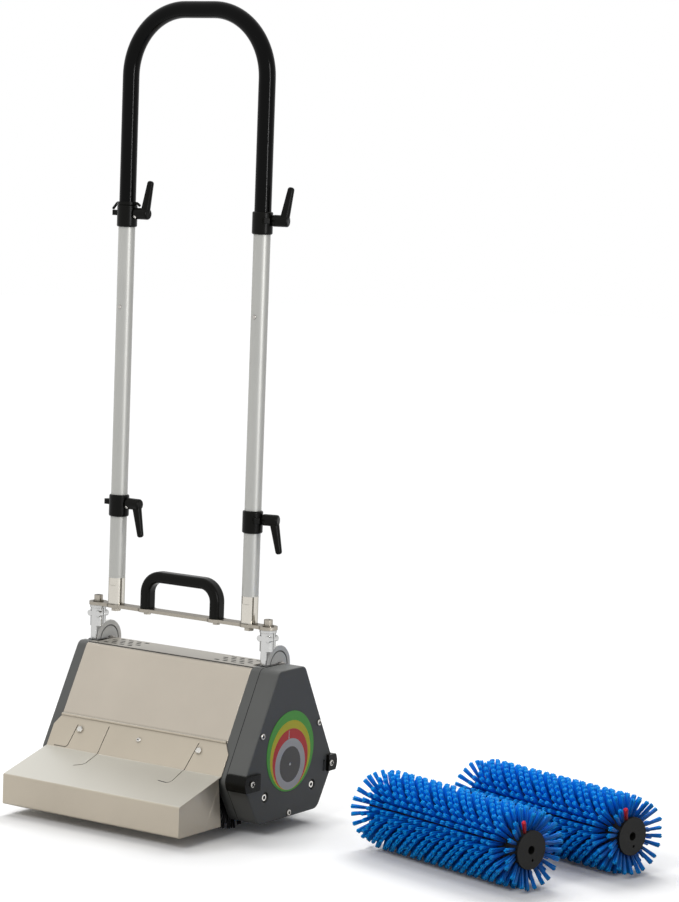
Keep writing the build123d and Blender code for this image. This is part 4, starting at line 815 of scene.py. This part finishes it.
# Painted shade: a dark strip in the seam where the drive cover meets its side plate
seam = Shape()
front_corners = [(-y, z, radius) for y, z, radius in BODY_CORNERS[::-1]]
loop = rounded_loop(BODY_CORNERS + front_corners, SEAM_STEPS)
for point, out in loop:
    for dx, rise in ((-1, SEAM_PROUD), (1, SEAM_PROUD), (1, -SEAM_SUNK), (-1, -SEAM_SUNK)):
        seam.verts.append(Vector((SEAM_X + dx * SEAM_HALF, 0.0, 0.0)) + point + out * rise)
for k in range(len(loop)):
    a = 4 * k
    b = 4 * ((k + 1) % len(loop))
    for j in range(4):
        after = (j + 1) % 4
        seam.faces.append((a + j, a + after, b + after, b + j))
piece("cover_seam_shade", seam, "socket_dark", "chassis")

# Rear lower corners of the tray's cheeks, with the strip of floor between them
corners = Shape()
for x in (-TRAY_HALF, TRAY_HALF - SHEET):
    cheek = [
        Vector((x, *TRAY_CHEEK_CUT)),
        Vector((x, TRAY_FLOOR_CUT, TRAY_FLOOR_Z)),
        Vector((x, TRAY_FLOOR_REAR, TRAY_FLOOR_Z)),
    ]
    corners.plate(cheek, RIGHT_WAY * SHEET)
inner = TRAY_HALF - SHEET
strip = [
    Vector((-inner, TRAY_FLOOR_CUT, TRAY_FLOOR_Z)),
    Vector((inner, TRAY_FLOOR_CUT, TRAY_FLOOR_Z)),
    Vector((inner, TRAY_FLOOR_REAR, TRAY_FLOOR_Z)),
    Vector((-inner, TRAY_FLOOR_REAR, TRAY_FLOOR_Z)),
]
corners.plate(strip, UP * SHEET)
piece("tray_corners", corners, "stainless", "tray")

# Tray screws: two domed nuts and a small button head between them, with a flat dark hexagon as the painted
# shade of its socket
screws = Shape()
slope_way = Vector((0.0, -SLOPE_OUT, SLOPE_UP))
for x, profile, sides in (
    (-TRAY_SCREW_X, TRAY_DOME, HEX),
    (0.0, TRAY_BUTTON, TRAY_BUTTON_SIDES),
    (TRAY_SCREW_X, TRAY_DOME, HEX),
):
    seat = Vector((x, *TRAY_SCREW_SEAT))
    screws.turned(seat, slope_way, profile, sides, TRAY_SCREW_TURN)
    screws.turned(seat, -slope_way, TRAY_SHANK, TRAY_SHANK_SIDES)
heads = piece("tray_screw_heads", screws, "bright_steel", "tray")
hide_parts("tray_screws")
socket = Shape()
top_of_button = Vector((0.0, *TRAY_SCREW_SEAT)) + slope_way * TRAY_BUTTON[-1][0]
socket.hex_socket_shade(top_of_button, slope_way, TRAY_SOCKET_R)
piece("tray_screw_socket_shade", socket, "socket_dark", "tray")


def socket_outline(slot_angle, flat):
    """Points round a tube socket, cut by a slot and, where asked, by a flat."""
    points = []
    half = SOCKET_SLOT_W / 2 / TUBE_R
    for k in range(SOCKET_POINTS):
        turn = slot_angle + half + (2 * pi - 2 * half) * k / (SOCKET_POINTS - 1)
        x, y = TUBE_R * sin(turn), -TUBE_R * cos(turn)
        points.append(Vector((x, max(y, SOCKET_FLAT - TUBE_R) if flat else y, 0.0)))
    depth = Vector((sin(slot_angle), -cos(slot_angle), 0.0)) * SOCKET_SLOT_D
    points.append(points[-1] - depth)
    points.append(points[0] - depth)
    return points


# Sockets under the handle tubes, each with a flat at its front and a slot at its side
slotted = Shape()
socket_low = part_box("tube_sockets")[0][2]
socket_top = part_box("lower_tubes")[0][2]
flat_top = socket_low + SOCKET_FLAT_H
for x, slot_angle in SOCKET_SLOTS:
    for low, high, flat in ((socket_low, flat_top, True), (flat_top, socket_top, False)):
        outline = [Vector((x, TUBE_Y, low)) + point for point in socket_outline(slot_angle, flat)]
        slotted.plate(outline, Vector((0.0, 0.0, high - low)))
sockets = piece("slotted_sockets", slotted, "socket_steel", "handle_yoke")
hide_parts("tube_sockets")

# Set screws in the hubs of the left clamps' levers
out = Vector((0.0, -cos(SET_SCREW_DIP), -sin(SET_SCREW_DIP)))
for label, joint_z in (("lower", LOWER_JOINT_Z), ("upper", UPPER_JOINT_Z)):
    screw = Shape()
    hub = Vector((-TUBE_X + COLLAR_R + SET_SCREW_X, TUBE_Y, joint_z + HUB_RISE))
    screw.turned(hub + out * (HUB_R - SET_SCREW_SUNK), out, SET_SCREW, HEX)
    piece(f"{label}_set_screw", screw, "bright_steel", f"left_{label}_lever")

# Camera, turned by yaw, pitch and roll
forward = Vector((-sin(YAW) * cos(PITCH), cos(YAW) * cos(PITCH), sin(PITCH)))
level = Vector((cos(YAW), sin(YAW), 0.0))
upward = level.cross(forward)
right = level * cos(ROLL) + upward * sin(ROLL)
top = upward * cos(ROLL) - level * sin(ROLL)
facing = Matrix((right, top, -forward)).transposed().to_4x4()
camera_data = bpy.data.cameras.new("camera")
camera_data.sensor_width = 36.0
camera_data.lens = 114.99
camera_data.shift_x = 0.0014
camera_data.shift_y = -0.005
camera = bpy.data.objects.new("camera", camera_data)
camera.matrix_world = Matrix.Translation(CAMERA_PLACE) @ facing
bpy.context.scene.collection.objects.link(camera)
bpy.context.scene.camera = camera


def area_light(name, location, target, size, power, lights_matt=True):
    """Soft lamp aimed at a target, which lights matt surfaces or else shows in highlights alone."""
    data = bpy.data.lights.new(name, "AREA")
    data.shape = "RECTANGLE"
    data.size, data.size_y = size
    data.energy = power
    lamp = bpy.data.objects.new(name, data)
    lamp.visible_diffuse = lights_matt
    lamp.visible_glossy = not lights_matt
    direction = Vector(target) - Vector(location)
    lamp.location = location
    lamp.rotation_euler = direction.to_track_quat("-Z", "Y").to_euler()
    bpy.context.scene.collection.objects.link(lamp)


area_light("key", (-0.4, 1.9, 2.6), (0.2, 0.0, 0.1), (1.4, 1.4), power=60.0)
area_light("left", (-1.35, 0.35, 3.0), (0.2, 0.0, 0.1), (1.4, 1.4), power=34.0)
area_light("front", (0.0, -3.2, 2.8), (0.2, 0.0, 0.2), (1.6, 1.6), power=58.0)
area_light("strip", (2.9, -0.75, 1.2), (0.0, 0.0, 0.7), (0.22, 1.8), power=44.0, lights_matt=False)


def seen_directly(tree):
    """1 for camera rays and for reflections and glass, 0 for light that falls on a surface."""
    ray = node(tree, "ShaderNodeLightPath")
    shown = calc(tree, "MAXIMUM", ray.outputs["Is Camera Ray"], ray.outputs["Is Glossy Ray"])
    return calc(tree, "MAXIMUM", shown, ray.outputs["Is Transmission Ray"])


# White surroundings, softer as a light than as a background
world = bpy.data.worlds.new("studio")
world.use_nodes = True
bpy.context.scene.world = world
sky = world.node_tree
background = sky.nodes["Background"]
background.inputs["Color"].default_value = (*WHITE, 1.0)
strength = spread(sky, seen_directly(sky), SKY_LIGHT, 1.0, 0.0, 1.0)
sky.links.new(strength, background.inputs["Strength"])

# Pale floor that fades into the white surroundings away from the object
bpy.ops.mesh.primitive_circle_add(
    vertices=96, radius=FLOOR_R, fill_type="NGON", location=(0.0, 0.0, FLOOR_Z))
floor = bpy.context.object
floor.name = "floor"
mat, tree, shader = new_material("floor")
shader.inputs["Roughness"].default_value = 0.75
shader.inputs["Specular IOR Level"].default_value = 0.1
shader.inputs["Emission Color"].default_value = (*WHITE, 1.0)
far = spread(tree, distance_from(tree, FLOOR_CENTRE, FROM_Z_AXIS), 0.0, 1.0, *FLOOR_FADE)
shown = seen_directly(tree)
pale = blend(tree, shown, FLOOR_TONE, WHITE)
tree.links.new(blend(tree, far, pale, BLACK), shader.inputs["Base Color"])
near_glow = calc(tree, "MULTIPLY", shown, NEAR_GLOW)
far_glow = spread(tree, shown, FAR_LIGHT, 1.0, 0.0, 1.0)
near_part = calc(tree, "MULTIPLY", near_glow, calc(tree, "SUBTRACT", 1.0, far))
far_part = calc(tree, "MULTIPLY", far_glow, far)
tree.links.new(calc(tree, "ADD", near_part, far_part), shader.inputs["Emission Strength"])
floor.data.materials.append(mat)

bpy.context.scene.view_settings.view_transform = "Standard"
